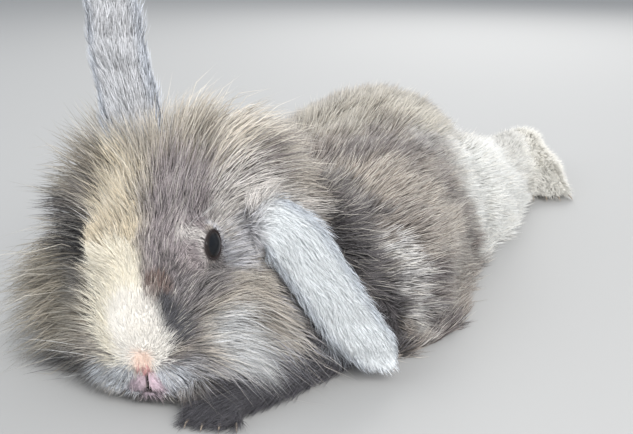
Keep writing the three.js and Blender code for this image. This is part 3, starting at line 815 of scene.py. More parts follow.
def head_hair(local, normals, eye):
    """The directions of the head's hair at the root and at the tip, and its length. It is groomed,
    but turns away from an eye that is near and is short there. Long hair stands off more at the
    root and sags more at the tip."""
    way, length = groomed(local)
    way = way @ head_matrix.T
    left = local[:, 0] > 0
    away = from_eye(local)
    away[:, 0] *= np.sign(local[:, 0])
    away = tangent(away @ head_matrix.T, normals)
    close = (1 - soft_step((eye - 9) / 5))[:, None]
    way = unit(blend(way, unit(away + 0.5 * way), close))
    least = np.where(left, 2.6, 4.5)
    from_lids = soft_step((eye - 9) / np.where(left, 8, 4.5))
    length = np.minimum(length, blend(least, length, from_lids))
    off = np.maximum(dot(way, normals), 0)[:, None]
    flow = tangent(way, normals) * np.sqrt(1 - 0.8 * off**2)
    sag = soft_step((length - 8) / 40)[:, None] * [0, 0.1, -0.75]
    rise = blend(0.34, 0.75, soft_step((length - 7) / 16))[:, None]
    at_root = unit(flow + (off + rise) * normals)
    return at_root, unit(flow + (0.8 * off + 0.14) * normals + sag), length


def thin_out(hair, points, normals, local, eye):
    """Makes hair short and sparse under the body, short and dense on the muzzle, and shortest on
    the lips, and leaves the muzzle's grooves and the lids bare."""
    pressed = pressed_down(points, normals, 6)
    hair["length"] = blend(hair["length"], PRESSED_LENGTH, pressed)
    hair["density"] = blend(hair["density"], PRESSED_DENSITY, pressed)
    front = soft_step((16 - local[:, 1]) / 4) * soft_step((36 - local[:, 2]) / 6)
    groove = np.minimum(path_distance(local, FOLD) + 0.3, path_distance(local, CLEFT))
    groove = np.minimum(groove, path_distance(local, MOUTH) + 0.4)
    bare = blend(1, soft_step((groove - 0.8) / 0.8), front)
    lip = hollow(path_distance(local, [LIP, (LIP[0] - 1.4, 15)]), 2.7) * front
    hair["length"] = blend(hair["length"], LIP_HAIR["length"], lip)
    hair["half"] = blend(blend(hair["half"], MUZZLE["half"], front), LIP_HAIR["half"], lip)
    for side in (1, -1):
        share = eye_angles(local, side)[2]
        lid = (eye < 12) & (local[:, 0] * side > 0)
        bare = np.where(lid, bare * soft_step((share - 1.08) / 0.1), bare)
    hair["density"] *= bare * blend(1, MUZZLE["density"], front)


def growth(points, normals):
    """Everything about the hair at each point: a dictionary of arrays with lengths in mm, the
    directions at the root and at the tip, and the name of the coat."""
    hair, at_root, at_tip, coat_of = trunk_hair(points, normals)
    local, face, mane = head_shares(points)
    both = np.clip(face + mane, 0, 1)
    eye = eye_distance(local)
    head_root, head_tip, length = head_hair(local, normals, eye)
    at_root = unit(blend(at_root, head_root, both[:, None]))
    at_tip = unit(blend(at_tip, head_tip, both[:, None]))
    hair["length"] = blend(hair["length"], length, both)
    for key in FACE:
        hair[key] = blend(blend(hair[key], FACE[key], face), MANE[key], mane)
    hair["density"] *= 1 + RIGHT_MANE * mane * soft_step((-local[:, 0] - 8) / 12)
    coat_of[(face > 0.5) & (coat_of == "body")] = "face"
    coat_of[(mane > 0.5) & (coat_of == "body")] = "mane"
    for ear in EARS.values():
        share, along, opening, edge, t = ear_shares(points, ear)
        inner = soft_step(dot(normals, opening) * 3)
        rim = soft_step((edge - 0.6) / 0.3)
        way = tangent(along, normals)
        at_root = unit(blend(at_root, way + 0.42 * normals, share[:, None]))
        at_tip = unit(blend(at_tip, way + 0.1 * normals, share[:, None]))
        measures = {
            "length": blend(9 - 5 * inner * (1 - rim), 4.5, soft_step((t - 0.78) / 0.2)),
            "half": 0.19, "density": 1.4 - 0.3 * inner, "lock": 2.4,
        }
        for key, value in measures.items():
            hair[key] = blend(hair[key], value, share)
        coat_of[share > 0.5] = "ear"
    thin_out(hair, points, normals, local, eye)
    return hair, at_root, at_tip, coat_of


print(len(GROOM), "rows of grooming")

# %% [markdown]
# The markings are soft capsules too, laid over one another in order. Each has one colour as it
# should look from a distance, and the hair's root is darker than it and the tip paler. Their edges
# are shifted by ripples, as the edges of markings are. Some of them are painted shade, laid alone or
# over the coat's own dark colour: on the head's right side and right shoulder, beneath the hanging
# ear, under the chin and throat, and in the grooves of nose and mouth. Those of head and muzzle are
# given in the head's millimetres, the rest in the frame's.

# %% Markings and painted shade
SCREEN_GAMMA = 2.2
PALEST = 0.92  # as white as a tip gets


def coat_colour(red, green, blue, contrast=0.3):
    """A colour given as it looks on a screen, from 0 to 255, as the linear colours of the root and
    of the tip. The root is darker by the contrast, and the tip lighter by half of it."""
    linear = (np.array([red, green, blue]) / 255) ** SCREEN_GAMMA
    lighter = min((1 + 0.5 * contrast) ** SCREEN_GAMMA, PALEST / linear.max())
    return linear * (1 - contrast) ** SCREEN_GAMMA, linear * lighter


GROUND = coat_colour(142, 133, 125)
RIDGE = coat_colour(166, 159, 147)
RIDGE_FAR = coat_colour(184, 177, 164)
BAND = coat_colour(162, 152, 141)
DUSK = coat_colour(104, 96, 94)
# dark brown of the shoulders, with painted shade laid in it: beneath the hanging left ear, on the
# right shoulder and under the throat by the floor
SHOULDER_AND_SHADE = coat_colour(84, 80, 81)
PATCH = coat_colour(198, 195, 192)
HAUNCH = coat_colour(252, 251, 246, 0.08)
SHANK = coat_colour(206, 203, 196, 0.2)
FOOT = coat_colour(250, 247, 239, 0.08)
PAW = coat_colour(80, 78, 82)
CREST = coat_colour(162, 154, 142, 0.42)
FOREHEAD = coat_colour(141, 132, 132, 0.52)
BLAZE = coat_colour(224, 210, 185, 0.2)
BLAZE_LOW = coat_colour(252, 244, 225, 0.07)
WHITE = coat_colour(247, 242, 234, 0.09)
BROWN = coat_colour(114, 97, 90, 0.4)
CHARCOAL = coat_colour(78, 77, 80, 0.45)
TEMPLE = coat_colour(200, 194, 189, 0.5)
LILAC = coat_colour(211, 209, 212, 0.26)
UMBER = coat_colour(116, 111, 111, 0.45)
CHEEK = coat_colour(172, 163, 152, 0.42)
CREST_PALE = coat_colour(210, 201, 188, 0.38)
# dark grey of the chin, deepened as painted shade under the lips
CHIN_AND_SHADE = coat_colour(92, 88, 88, 0.4)
JOWL = coat_colour(234, 235, 236, 0.4)
JOWL_DARK = coat_colour(142, 142, 148, 0.5)
PAD = coat_colour(220, 222, 228, 0.36)
RIGHT_PAD = coat_colour(214, 217, 222, 0.45)
RIGHT_CHEEK = coat_colour(152, 143, 128)
# dark fur of the head's right side, darkened further as painted shade for the shade that side lies in
RIGHT_DARK_AND_SHADE = coat_colour(50, 47, 47)
RIGHT_TAN = coat_colour(128, 120, 108, 0.42)
STRIP = coat_colour(98, 90, 86)
SILVER = coat_colour(251, 254, 255, 0.07)
STEEL = coat_colour(204, 204, 206, 0.28)
EAR_SIDE = coat_colour(176, 183, 194, 0.4)
INNER_EAR = coat_colour(230, 208, 198, 0.16)
PINK = coat_colour(226, 160, 162, 0.06)
ORANGE = coat_colour(250, 208, 184, 0.1)
# painted shade in the nose's fold and the slits of the nostrils
FOLD_SHADE = coat_colour(104, 97, 101, 0.1)
LIP_PINK = coat_colour(226, 202, 212, 0.06)
MAUVE = coat_colour(188, 166, 176, 0.08)
LOWER_LIP = coat_colour(176, 160, 168, 0.08)
# the dark skin of the lids' rims, and painted shade in the cleft of the lip and the line of the mouth
LID_RIM_AND_GROOVE_SHADE = coat_colour(52, 46, 46, 0.1)

BODY_MARKS = [
    # colours, start, end, radius, soft, strength
    (RIDGE, (-8, -20, 97), (20, 40, 90), 17, 20, 0.95),
    (RIDGE_FAR, (30, 16, 90), (38, 50, 76), 9, 12, 0.9),
    (PATCH, (46, 2, 82), (54, 24, 68), 5, 12, 0.6),
    (DUSK, (22, -64, 92), (40, -28, 86), 8, 14, 0.8),
    (BAND, (28, -86, 84), (60, -52, 70), 9, 10, 0.9),
    (BAND, (60, -52, 70), (82, -40, 48), 10, 10, 0.9),
    # painted shade behind and beneath the hanging left ear, over the shoulder's dark brown
    (SHOULDER_AND_SHADE, (30, -90, 78), (50, -95, 64), 11, 9, 0.85),
    (SHOULDER_AND_SHADE, (60, -112, 56), (72, -108, 16), 13, 10, 1.0),
    (SHOULDER_AND_SHADE, (76, -100, 34), (84, -92, 22), 4, 8, 0.9),
    (PATCH, (69, -93, 53), (75, -88, 47), 5, 7, 1.0),
    (PATCH, (80, -84, 34), (86, -80, 14), 7, 8, 0.9),
    (DUSK, (52, -6, 78), (76, -14, 50), 3, 9, 0.7),
    (DUSK, (90, -70, 26), (94, -66, 4), 11, 10, 1.0),
    (HAUNCH, (66, 44, 50), (56, 140, 34), 18, 26, 1.0),
    (HAUNCH, (70, 50, 20), (64, 110, 16), 20, 16, 1.0),
    (DUSK, (78, -4, 40), (80, 12, 12), 3, 10, 0.6),
    (SHANK, (42, 156, 30), (30, 226, 24), 22, 24, 1.0),
    (HAUNCH, (-60, 60, 30), (-50, 110, 30), 20, 30, 0.4),
    (FOOT, (30, 240, 14), (80, 164, 6), 22, 8, 1.0),
    (FOOT, (-70, 106, 6), (-80, 38, 6), 10, 12, 0.8),
    (HAUNCH, (-8, 150, 40), (-11, 182, 16), 20, 10, 0.9),
    # painted shade on the right shoulder
    (SHOULDER_AND_SHADE, (-74, -100, 40), (-80, -90, 12), 12, 12, 0.9),
    (BAND, (-60, -60, 70), (-84, -30, 40), 9, 14, 0.8),
]
PAW_MARKS = [
    (FOOT, (30, 240, 14), (80, 164, 6), 14, 14, 1.0),
    (FOOT, (-70, 106, 10), (-82, 14, 6), 15, 8, 1.0),
    (PAW, (60, -116, 12), (37, -198, 6), 13, 5, 1.0),
    (PAW, (-61, -116, 12), (-48, -182, 6), 14, 5, 1.0),
]
HEAD_MARKS = [
    (CREST, (-50, 62, 92), (40, 64, 102), 20, 14, 1.0),
    (CREST_PALE, (34, 62, 100), (50, 72, 92), 8, 9, 0.9),
    (CHEEK, (40, 36, 50), (46, 38, 26), 15, 10, 1.0),
    (RIGHT_CHEEK, (-46, 34, 44), (-62, 40, 20), 26, 14, 1.0),
    # painted shade over the dark ruff behind the right cheek and eye
    (RIGHT_DARK_AND_SHADE, (-46, 44, 60), (-60, 52, 72), 12, 8, 1.0),
    (RIGHT_DARK_AND_SHADE, (-46, 44, 58), (-38, 26, 50), 9, 6, 0.85),
    (RIGHT_TAN, (-30, 56, 98), (-54, 60, 90), 15, 8, 1.0),
    (JOWL_DARK, (34, 4, 0), (70, 30, 2), 8, 9, 1.0),
    (JOWL_DARK, (25, 3, 17), (42, 8, 6), 5, 6, 0.7),
    (JOWL, (38, 18, 26), (50, 8, 14), 8, 8, 0.9),
    (JOWL, (48, 8, 14), (62, 0, 4), 5, 7, 0.9),
    # painted shadow that the right cheek casts on its jowl beside the floor
    (RIGHT_DARK_AND_SHADE, (-37, 10, 8), (-54, 38, 2), 9, 7, 1.0),
    # painted shade under the lips, over the chin's dark hair
    (CHIN_AND_SHADE, (-9, 5, 1), (12, 5, 1), 5, 4, 1.0),
    (CHIN_AND_SHADE, (14, 4, 3), (27, 5, 2), 5, 4, 1.0),
    (JOWL_DARK, (64, 40, 22), (60, 52, 34), 8, 9, 0.9),
    (DUSK, (54, 62, 86), (74, 71, 78), 10, 7, 1.0),
    (DUSK, (73, 70, 73), (84, 88, 58), 7, 8, 1.0),
    (TEMPLE, (58, 64, 66), (68, 76, 54), 6, 6, 0.8),
    # painted shade on the shoulder beneath the hanging left ear
    (SHOULDER_AND_SHADE, (78, 70, 44), (92, 66, 22), 13, 9, 1.0),
    (TEMPLE, (26, 45, 76), (38, 54, 78), 10, 8, 1.0),
    (UMBER, (29, 28, 50), (26, 20, 46), 6, 6, 0.9),
    (LILAC, (35, 36, 66), (36, 42, 53), 7.5, 6, 1.0),
    (LILAC, (42, 42, 66), (46, 48, 58), 6, 5, 1.0),
    (JOWL_DARK, (31, 37, 58), (33, 40, 53), 3, 4, 0.8),
    (FOREHEAD, (12, 46, 90), (15, 28, 76), 10, 7, 1.0),
    (FOREHEAD, (14, 26, 75), (15, 16, 62), 10, 6, 1.0),
    (TEMPLE, (21, 19, 70), (22, 13, 58), 3.5, 4, 0.8),
    (FOREHEAD, (15, 14, 60), (12, 9, 50), 8, 5, 1.0),
    (UMBER, (20, 11, 46), (17, 8, 36), 7, 6, 0.9),
    (BROWN, (9, 8, 53), (8, 6, 48), 4, 4, 0.95),
    (CHARCOAL, (12, 6, 43), (16, 5, 34), 4.2, 4, 1.0),
    (STRIP, (-26, 48, 86), (-40, 50, 74), 6, 6, 1.0),
    (CREST, (-20, 56, 97), (-17, 44, 90), 9, 8, 0.9),
    (BLAZE, (-18, 44, 90), (-16, 26, 75), 10, 6, 1.0),
    (BLAZE, (-25, 30, 80), (-23, 20, 66), 10, 4, 1.0),
    (BLAZE, (-16, 26, 75), (-15, 12, 60), 11.5, 4, 1.0),
    (BLAZE_LOW, (-14, 12, 58), (-12, 8, 48), 12.5, 4, 1.0),
    (BLAZE_LOW, (-16, 8, 42), (-10, 3, 30), 12, 5, 1.0),
    (WHITE, (-4, 4, 42), (0, 1, 27), 8.5, 7, 0.9),
    (WHITE, (2, 0, 24), (8, 2, 26), 7, 4, 0.9),
    (PAD, (11, 3, 12), (22, 8, 14), 6.5, 4, 1.0),
    (RIGHT_PAD, (-11, 3, 12), (-22, 8, 14), 6.5, 4, 1.0),
    # painted shade under the throat, where the head lies near the floor
    (SHOULDER_AND_SHADE, (0, 20, 0), (0, 40, 2), 13, 8, 0.9),
]
FRONT_MARKS = [
    (LIP_PINK, (2.6, 0, 13.4), (3.8, 0, 10.4), 2.3, 1.8, 0.9),
    (MAUVE, (-3.2, 0, 12), (-4.6, 0, 10), 2.5, 1.8, 0.85),
    # painted shade along the grooves of the nose's fold
    (FOLD_SHADE, (4, 0, 18.2), (10, 0, 21.4), 0.3, 1.0, 0.6),
    (FOLD_SHADE, (10, 0, 21.4), (18, 0, 25.6), 0.6, 1.1, 1.0),
    (FOLD_SHADE, (-12, 0, 22.4), (-18, 0, 25.6), 0.6, 1.1, 0.9),
    (ORANGE, (0, 0, 20.4), (0, 0, 23), 1.6, 3.4, 0.6),
    (PINK, (-1.6, 0, 18.4), (1.6, 0, 18.4), 0.9, 1.3, 0.95),
    (PINK, (0, 0, 17.4), (0, 0, 15), 0.8, 0.8, 0.95),
    (LOWER_LIP, (-2, 0, 5.4), (4, 0, 5.6), 0.6, 0.8, 0.9),
    # painted shade in the lip's cleft and along the mouth
    (LID_RIM_AND_GROOVE_SHADE, (0, 0, 14.2), (0, 0, 7.4), 0.45, 0.5, 0.95),
    (LID_RIM_AND_GROOVE_SHADE, (-2.6, 0, 6.8), (2.6, 0, 6.8), 0.7, 0.8, 0.9),
]


def laid(colours, pair, share):
    """A pair of colours blended over another by each point's share."""
    return [blend(under, over, share[:, None]) for under, over in zip(colours, pair)]


def lay(colours, marks, points):
    """The marks' pairs of colours laid over those beneath, one after the other."""
    for pair, *place, strength in marks:
        colours = laid(colours, pair, capsule(points, *place) * strength)
    return colours


def markings_and_shade(places, normals, roots):
    """The colours of the hair's root and of its tip, as two arrays of linear colours. The patch is
    looked up where the hair is seen, at places, and face, ears and lids where it is rooted."""
    local, face, mane = head_shares(roots)
    shift = 3 * ripples(places, 16, 11)
    shift += 1.4 * ripples(places, 6, 14)
    colours = [np.tile(side, (len(roots), 1)) for side in GROUND]
    colours = lay(colours, BODY_MARKS, places + 2 * shift)
    both = np.clip(face + mane, 0, 1)
    steady = (0.3 + 0.7 * soft_step(local[:, 1] / 34))[:, None]
    dressed = lay(laid(colours, CHEEK, both), HEAD_MARKS, in_head(places) + shift * steady)
    colours = lay(laid(colours, dressed, both), PAW_MARKS, roots)
    fine = lay(colours, FRONT_MARKS, local * [1, 0, 1])
    colours = laid(colours, fine, soft_step((12 - local[:, 1]) / 4))
    for side in (1, -1):
        distance, _, share = eye_angles(local, side)
        rim = (distance < 11) & (local[:, 0] * side > 0)
        colours = laid(colours, LID_RIM_AND_GROOVE_SHADE, rim * (1 - soft_step((share - 1.17) / 0.14)))
    for ear, outer in zip(EARS.values(), (SILVER, STEEL)):
        share, _, opening, edge, _ = ear_shares(roots, ear)
        inner = soft_step(dot(normals, opening) * 3) * (1 - soft_step((edge - 0.55) / 0.35))
        pair = laid(outer, EAR_SIDE, soft_step((edge - 0.55) / 0.4) * 0.55)
        colours = laid(colours, laid(pair, INNER_EAR, inner), share)
    return colours


print(len(BODY_MARKS) + len(PAW_MARKS) + len(HEAD_MARKS) + len(FRONT_MARKS), "marks")

# %% [markdown]
# A tuft is a thin closed blade with a three-sided section: a few rings of three points and a tip.
# Its middle line leaves the skin in one direction and bends towards another, waves a little, and
# gathers with its neighbours into locks. All tufts of a piece are computed together as whole
# arrays.

# %% Tufts
PATCH_SIZE = 0.003  # of a tuft's patch on the map
TRIANGLE_LIMIT = 190000
FLOOR_CLEAR = 0.5
DRAPE = 16  # mm round a foreleg's bone, where hair of the head lies over it
EAR_CLEAR = 1.6  # mm, between an ear's leaf and the hair behind it
EAR_CLEAR_FROM = (0.27, 0.4)  # the share of each ear's length where hair starts to keep off it
BLADE_TAPER = 0.65  # the power of the share of length that is left
BLADE_ROOT = 0.75  # the root's width, as a share of the tuft's
BLADE_GAIN = 0.7  # how fast it gains width from there
BLADE_FULL = 0.35  # the share of the length where it stops gaining
BLADE_THICK = 0.7  # as a share of the half width


def sample_roots(thing, seed, wanted):
    """Places spread over a mesh with the density that wanted gives for points and normals, per
    square mm. The running sum of density times area is stepped through evenly with a small jitter,
    and each place is a random point of the triangle it falls in."""
    draw = np.random.default_rng(seed)
    points = points_of(thing.data)
    triangles, loops = triangles_of(thing.data)
    normals = vertex_normals(points, triangles)
    corners = points[triangles]
    sides = corners[:, 1:] - corners[:, :1]
    area = 0.5 * np.linalg.norm(np.cross(sides[:, 0], sides[:, 1]), axis=1)
    running = np.cumsum(area * wanted(corners.mean(axis=1), unit(normals[triangles].mean(axis=1))))
    count = int(running[-1])
    steps = (np.arange(count) + draw.uniform(0, 1, count)) / count * running[-1]
    chosen = np.searchsorted(running, steps).clip(0, len(area) - 1)
    a, b = draw.uniform(0, 1, (2, count))
    over = a + b > 1
    a, b = np.where(over, 1 - a, a), np.where(over, 1 - b, b)
    weights = np.stack([1 - a - b, a, b], axis=1)[..., None]
    flat = np.empty(len(thing.data.loops) * 2, np.float32)
    thing.data.uv_layers[BAKE_MAP].data.foreach_get("uv", flat)
    places = (corners[chosen] * weights).sum(axis=1)
    ways = unit((normals[triangles[chosen]] * weights).sum(axis=1))
    spots = (flat.reshape(-1, 2)[loops[chosen]] * weights).sum(axis=1)
    return places, ways, spots


def hair_lines(roots, at_root, at_tip, length, rings, wave, draw):
    """The middle line of each hair: steps whose direction turns evenly from the root's to the
    tip's, with a sideways wave that grows towards the tip."""
    count = len(roots)
    lines = np.empty((count, rings, 3))
    sunk = np.minimum(1.2, 0.2 * length)
    lines[:, 0] = roots - at_root * sunk[:, None]
    step = (length + sunk) / (rings - 1)
    side = unit(np.cross(at_root, at_tip + 1e-3) + 1e-6)
    phase = draw.uniform(0, 2 * math.pi, count)
    for ring in range(1, rings):
        t = ring / (rings - 1)
        way = unit(blend(at_root, at_tip, (ring - 0.5) / (rings - 1)))
        sway = wave * length / (rings - 1) * np.cos(phase + 4.5 * t)
        lines[:, ring] = lines[:, ring - 1] + way * step[:, None] + side * sway[:, None]
    return lines


def gather(lines, roots, size, pull, seed):
    """Draws the points of each hair's line towards the mean line of its lock. A lock is the hairs
    whose roots share a cell of that size, on a grid bent by ripples."""
    bent = roots + 2 * ripples(roots, 9, seed)
    cells = np.floor(bent / size[:, None]).astype(np.int64)
    _, lock = np.unique(cells, axis=0, return_inverse=True)
    lock = lock.ravel()
    counts = np.maximum(np.bincount(lock), 1)
    for ring in range(1, lines.shape[1]):
        share = (pull * (ring / (lines.shape[1] - 1)) ** 1.5)[:, None]
        mean = np.stack([np.bincount(lock, lines[:, ring, k]) / counts for k in range(3)], axis=1)
        lines[:, ring] = blend(lines[:, ring], mean[lock], share)
    return lines


def beside_ear(points, ear):
    """For points near an ear: the share t of its length, the distance u to the side as a share of
    its half width, and how far they are behind its leaf, in mm."""
    t = np.linspace(0, 1, 60)
    middle, along, side, opening = ear_frame(ear, t)
    gaps = np.stack([(points - place) @ way for place, way in zip(middle, along)], axis=1)
    nearest = np.abs(gaps).argmin(axis=1)
    off = points - middle[nearest]
    u = dot(off, side[nearest]) / np.maximum(ear_half(t), 1)[nearest]
    cup = (spline(EAR_CUP, t) * ear_half(t))[nearest] * u**2
    return t[nearest], u, dot(off, opening[nearest]) - cup, opening[nearest]


def on_leaf(t, u, behind, start_at, near, far):
    """Whether points are within an ear's outline past start_at, and behind its leaf by less than
    near and more than far, in mm."""
    return (t > start_at) & (t < 0.995) & (np.abs(u) < 1.05) & (behind < near) & (behind > far)


def clear_of_ears(lines):
    """Hairs that would cross an ear's outer face end at its edge: the line is shortened to the
    share of it that is still free. Hairs from behind are pressed back off the leaf."""
    count, rings, _ = lines.shape
    row = np.arange(count)
    for ear, start_at in zip(EARS.values(), EAR_CLEAR_FROM):
        free = np.ones(count)
        for share in np.linspace(0.15, 1, 12):
            place = share * (rings - 1)
            low = min(int(place), rings - 2)
            points = blend(lines[:, low], lines[:, low + 1], place - low)
            t, u, behind, _ = beside_ear(points, ear)
            inside = on_leaf(t, u, behind, start_at, 1.5, -45)
            free = np.where(inside & (share < free), share, free)
        _, u, behind, _ = beside_ear(lines[:, 0], ear)
        free = np.where((behind < 2) | (np.abs(u) > 1.3), np.maximum(free - 0.05, 0.3), 1)
        start = lines.copy()
        for ring in range(1, rings):
            place = free * ring
            low = np.minimum(place.astype(int), rings - 2)
            lines[:, ring] = blend(start[row, low], start[row, low + 1], (place - low)[:, None])
            t, u, behind, opening = beside_ear(lines[:, ring], ear)
            near = on_leaf(t, u, behind, start_at, EAR_CLEAR, -9)
            lines[:, ring] += np.where(near, EAR_CLEAR - behind, 0)[:, None] * opening
    return lines


def over_forelegs(lines):
    """Hair of the head that would pass through a foreleg lies over it: each point inside a capsule
    round the leg moves straight out to the capsule's surface."""
    for name in FORELEGS:
        start, end = (np.array(ZONES[name][key], float) for key in ("start", "end"))
        share = np.clip((lines - start) @ (end - start) / np.sum((end - start) ** 2), 0, 0.85)
        core = start + share[..., None] * (end - start)
        far = np.linalg.norm(lines - core, axis=-1, keepdims=True)
        over = core + (lines - core) * DRAPE / np.maximum(far, 1)
        lines[:, 1:] = np.where(far < DRAPE, over, lines)[:, 1:]
    return lines


def blades(lines, half, normals, roll):
    """Three points round each point of each line but the last, and the last as the tip. A section
    is as wide to each side as the half width times a power of the share of length that is left,
    and the root is a little narrower than the hair is at BLADE_FULL."""
    count, rings, _ = lines.shape
    along = unit(np.diff(lines, axis=1, append=2 * lines[:, -1:] - lines[:, -2:-1]))
    side = unit(np.cross(along, normals[:, None]) + roll[:, None, None] * normals[:, None])
    up = unit(np.cross(side, along))
    t = np.linspace(0, 1, rings)[None, :, None]
    full = BLADE_ROOT + BLADE_GAIN * np.minimum(t, BLADE_FULL)
    wide = half[:, None, None] * (1 - t) ** BLADE_TAPER * full
    thick = up * wide * BLADE_THICK
    ring = np.stack([lines + side * wide, lines + thick, lines - side * wide], axis=2)
    return np.concatenate([ring[:, :-1].reshape(count, -1, 3), lines[:, -1:]], axis=1)


def blade_faces(rings):
    """Triangles of one blade: the root's cap, two for each side between rings, and a fan to the
    tip."""
    faces = [(0, 2, 1)]
    for ring in range(rings - 2):
        for k in range(3):
            a, b = 3 * ring + k, 3 * ring + (k + 1) % 3
            faces += [(a, b, b + 3), (a, b + 3, a + 3)]
    last = 3 * (rings - 2)
    faces += [(last + k, last + (k + 1) % 3, last + 3) for k in range(3)]
    return np.array(faces)


def give(thing, name, values):
    """A value or a colour for each point of a mesh, for its finish to read."""
    values = np.asarray(values, np.float32)
    kind = "FLOAT" if values.ndim == 1 else "FLOAT_VECTOR"
    layer = thing.data.attributes.new(name, kind, "POINT")
    layer.data.foreach_set("value" if values.ndim == 1 else "vector", values.ravel())


def many_blades(name, lines, half, normals, roll):
    """One object of many blades, which rides with the body, and its triangles."""
    count, rings, _ = lines.shape
    points = blades(lines, half, normals, roll)
    starts = np.arange(count)[:, None, None] * points.shape[1]
    triangles = (starts + blade_faces(rings)[None]).reshape(-1, 3)
    thing = put_mesh(name, points.reshape(-1, 3), triangles)
    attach(thing, "root")
    return thing, triangles


def coat_piece(name, lines, half, normals, spots, colours, draw):
    """One object of many blades with the map, the two colours and the shares that its finish
    reads."""
    count, rings, _ = lines.shape
    roll = draw.normal(0, 0.35, count)
    thing, triangles = many_blades(name, lines, half, normals, roll)
    each = 3 * (rings - 1) + 1
    t = np.append(np.repeat(np.linspace(0, 1, rings)[:-1], 3), 1)
    across = np.append(np.tile([-0.5, 0, 0.5], rings - 1), 0)
    patch = np.stack([across * (1 - t), t - 0.5], axis=1) * PATCH_SIZE
    spread = (spots[:, None] + patch[None]).reshape(-1, 2)
    layer = thing.data.uv_layers.new(name=BAKE_MAP)
    layer.data.foreach_set("uv", spread[triangles.ravel()].astype(np.float32).ravel())
    give(thing, "Along", np.tile(t, count))
    give(thing, "Vary", np.repeat(draw.uniform(0, 1, count), each))
    give(thing, "Deep", np.repeat(colours[0], each, axis=0))
    give(thing, "Tip", np.repeat(colours[1], each, axis=0))
    return thing


# %% [markdown]
# The coat is grown once over the whole skin and then shared out into pieces, by kind and by the
# limit of triangles. Directions and lengths are a little uneven, as on a living animal. One hair in
# eight is a guard hair, longer, thinner and paler than the rest, but not on ears, paws and shanks.

# %% Growing the coat
# rings of a hair, how much it waves, and how far its lock gathers it, from the least to the most
STRANDS = {"mane": (4, 0.16, (0.3, 0.85)), "tail": (4, 0.1, (0.1, 0.55))}
OTHER_STRANDS = (3, 0.1, (0.1, 0.55))
COAT_SEED = 2025
LOCK_SEED = 60
SEEN_AT = 0.62  # the part of its length where a hair's colour is looked up
GUARD_SHARE = 0.13
GUARD_LONGER = 1.3
GUARD_THINNER = 0.85
GUARD_COLOUR = coat_colour(236, 229, 216, 0.1)
GUARD_PALER = (0.12, 0.5)  # the share of that colour at the root and at the tip
WITHOUT_GUARD = ["ear", "foreleg", "foot", "shank"]

draw = np.random.default_rng(COAT_SEED)
roots, normals, spots = sample_roots(skin, COAT_SEED, lambda *place: growth(*place)[0]["density"])
hair, at_root, at_tip, coat_of = growth(roots, normals)
bend = 0.2 * ripples(roots, 26, COAT_SEED)
ruffle = np.where(np.isin(coat_of, ["mane", "face"]), 0.2, 0.18)[:, None]
at_root = unit(at_root + bend + draw.normal(0, 1, roots.shape) * ruffle)
at_tip = unit(at_tip + bend + draw.normal(0, 1, roots.shape) * ruffle)
shortest = np.where(coat_of == "mane", 0.55, 0.72)
length = hair["length"] * draw.uniform(shortest, 1.22) * (1 + 0.13 * ripple(roots, 14, 50))
seen = roots + SEEN_AT * length[:, None] * unit(at_root + at_tip)
colours = markings_and_shade(seen, normals, roots)
guard = (draw.uniform(0, 1, len(roots)) < GUARD_SHARE) & (length > 5)
guard &= ~np.isin(coat_of, WITHOUT_GUARD)
length *= np.where(guard, GUARD_LONGER, 1)
hair["half"] *= np.where(guard, GUARD_THINNER, 1)
paler = zip(colours, GUARD_COLOUR, GUARD_PALER)
colours = [blend(own, pale, share * guard[:, None]) for own, pale, share in paler]
coat = []
for kind in sorted(set(coat_of)):
    mine = np.flatnonzero(coat_of == kind)
    rings, wave, pull = STRANDS.get(kind, OTHER_STRANDS)
    lines = hair_lines(roots[mine], at_root[mine], at_tip[mine], length[mine], rings, wave, draw)
    pull = draw.uniform(*pull, len(mine))
    lines = gather(lines, roots[mine], hair["lock"][mine], pull, LOCK_SEED)
    if kind in ("mane", "face"):
        lines = over_forelegs(lines)
    if kind != "ear":
        lines = clear_of_ears(lines)
    lines[..., 2] = np.maximum(lines[..., 2], FLOOR_CLEAR)
    parts = math.ceil(len(mine) * len(blade_faces(rings)) / TRIANGLE_LIMIT)
    shares = zip(np.array_split(mine, parts), np.array_split(lines, parts))
    for part, (rows, own_lines) in enumerate(shares):
        piece = coat_piece(
            f"coat_{kind}_{part + 1}", own_lines, hair["half"][rows], normals[rows],
            spots[rows], [side[rows] for side in colours], draw,
        )
        coat.append(piece)
        print(piece.name, len(rows), "tufts", len(piece.data.polygons), "triangles")
print("coat has", sum(len(piece.data.polygons) for piece in coat), "triangles")

# %% [markdown]
# The skin under the coat takes the same markings and painted shade, kept near the colour of the
# hair's roots. It stands for every solid that it was melted from, and for the ears.

# %% Colours of the skin
points = points_of(skin.data)
triangles, _ = triangles_of(skin.data)
normals = vertex_normals(points, triangles)
deep, tip = markings_and_shade(points, normals, points)
give(skin, "Deep", deep)
give(skin, "Tip", tip)
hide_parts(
    "head", "neck", "torso", "foreleg_left", "foreleg_right", "hind_leg_left",
    "hind_leg_right", "hind_foot_left", "hind_foot_right", "tail", "ear_left", "ear_right",
)
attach(skin, "root")

# %% [markdown]
# An eyeball is a fine sphere whose pole looks along the gaze, so that the angle from the pole can
# paint the pupil and the dark iris round it.

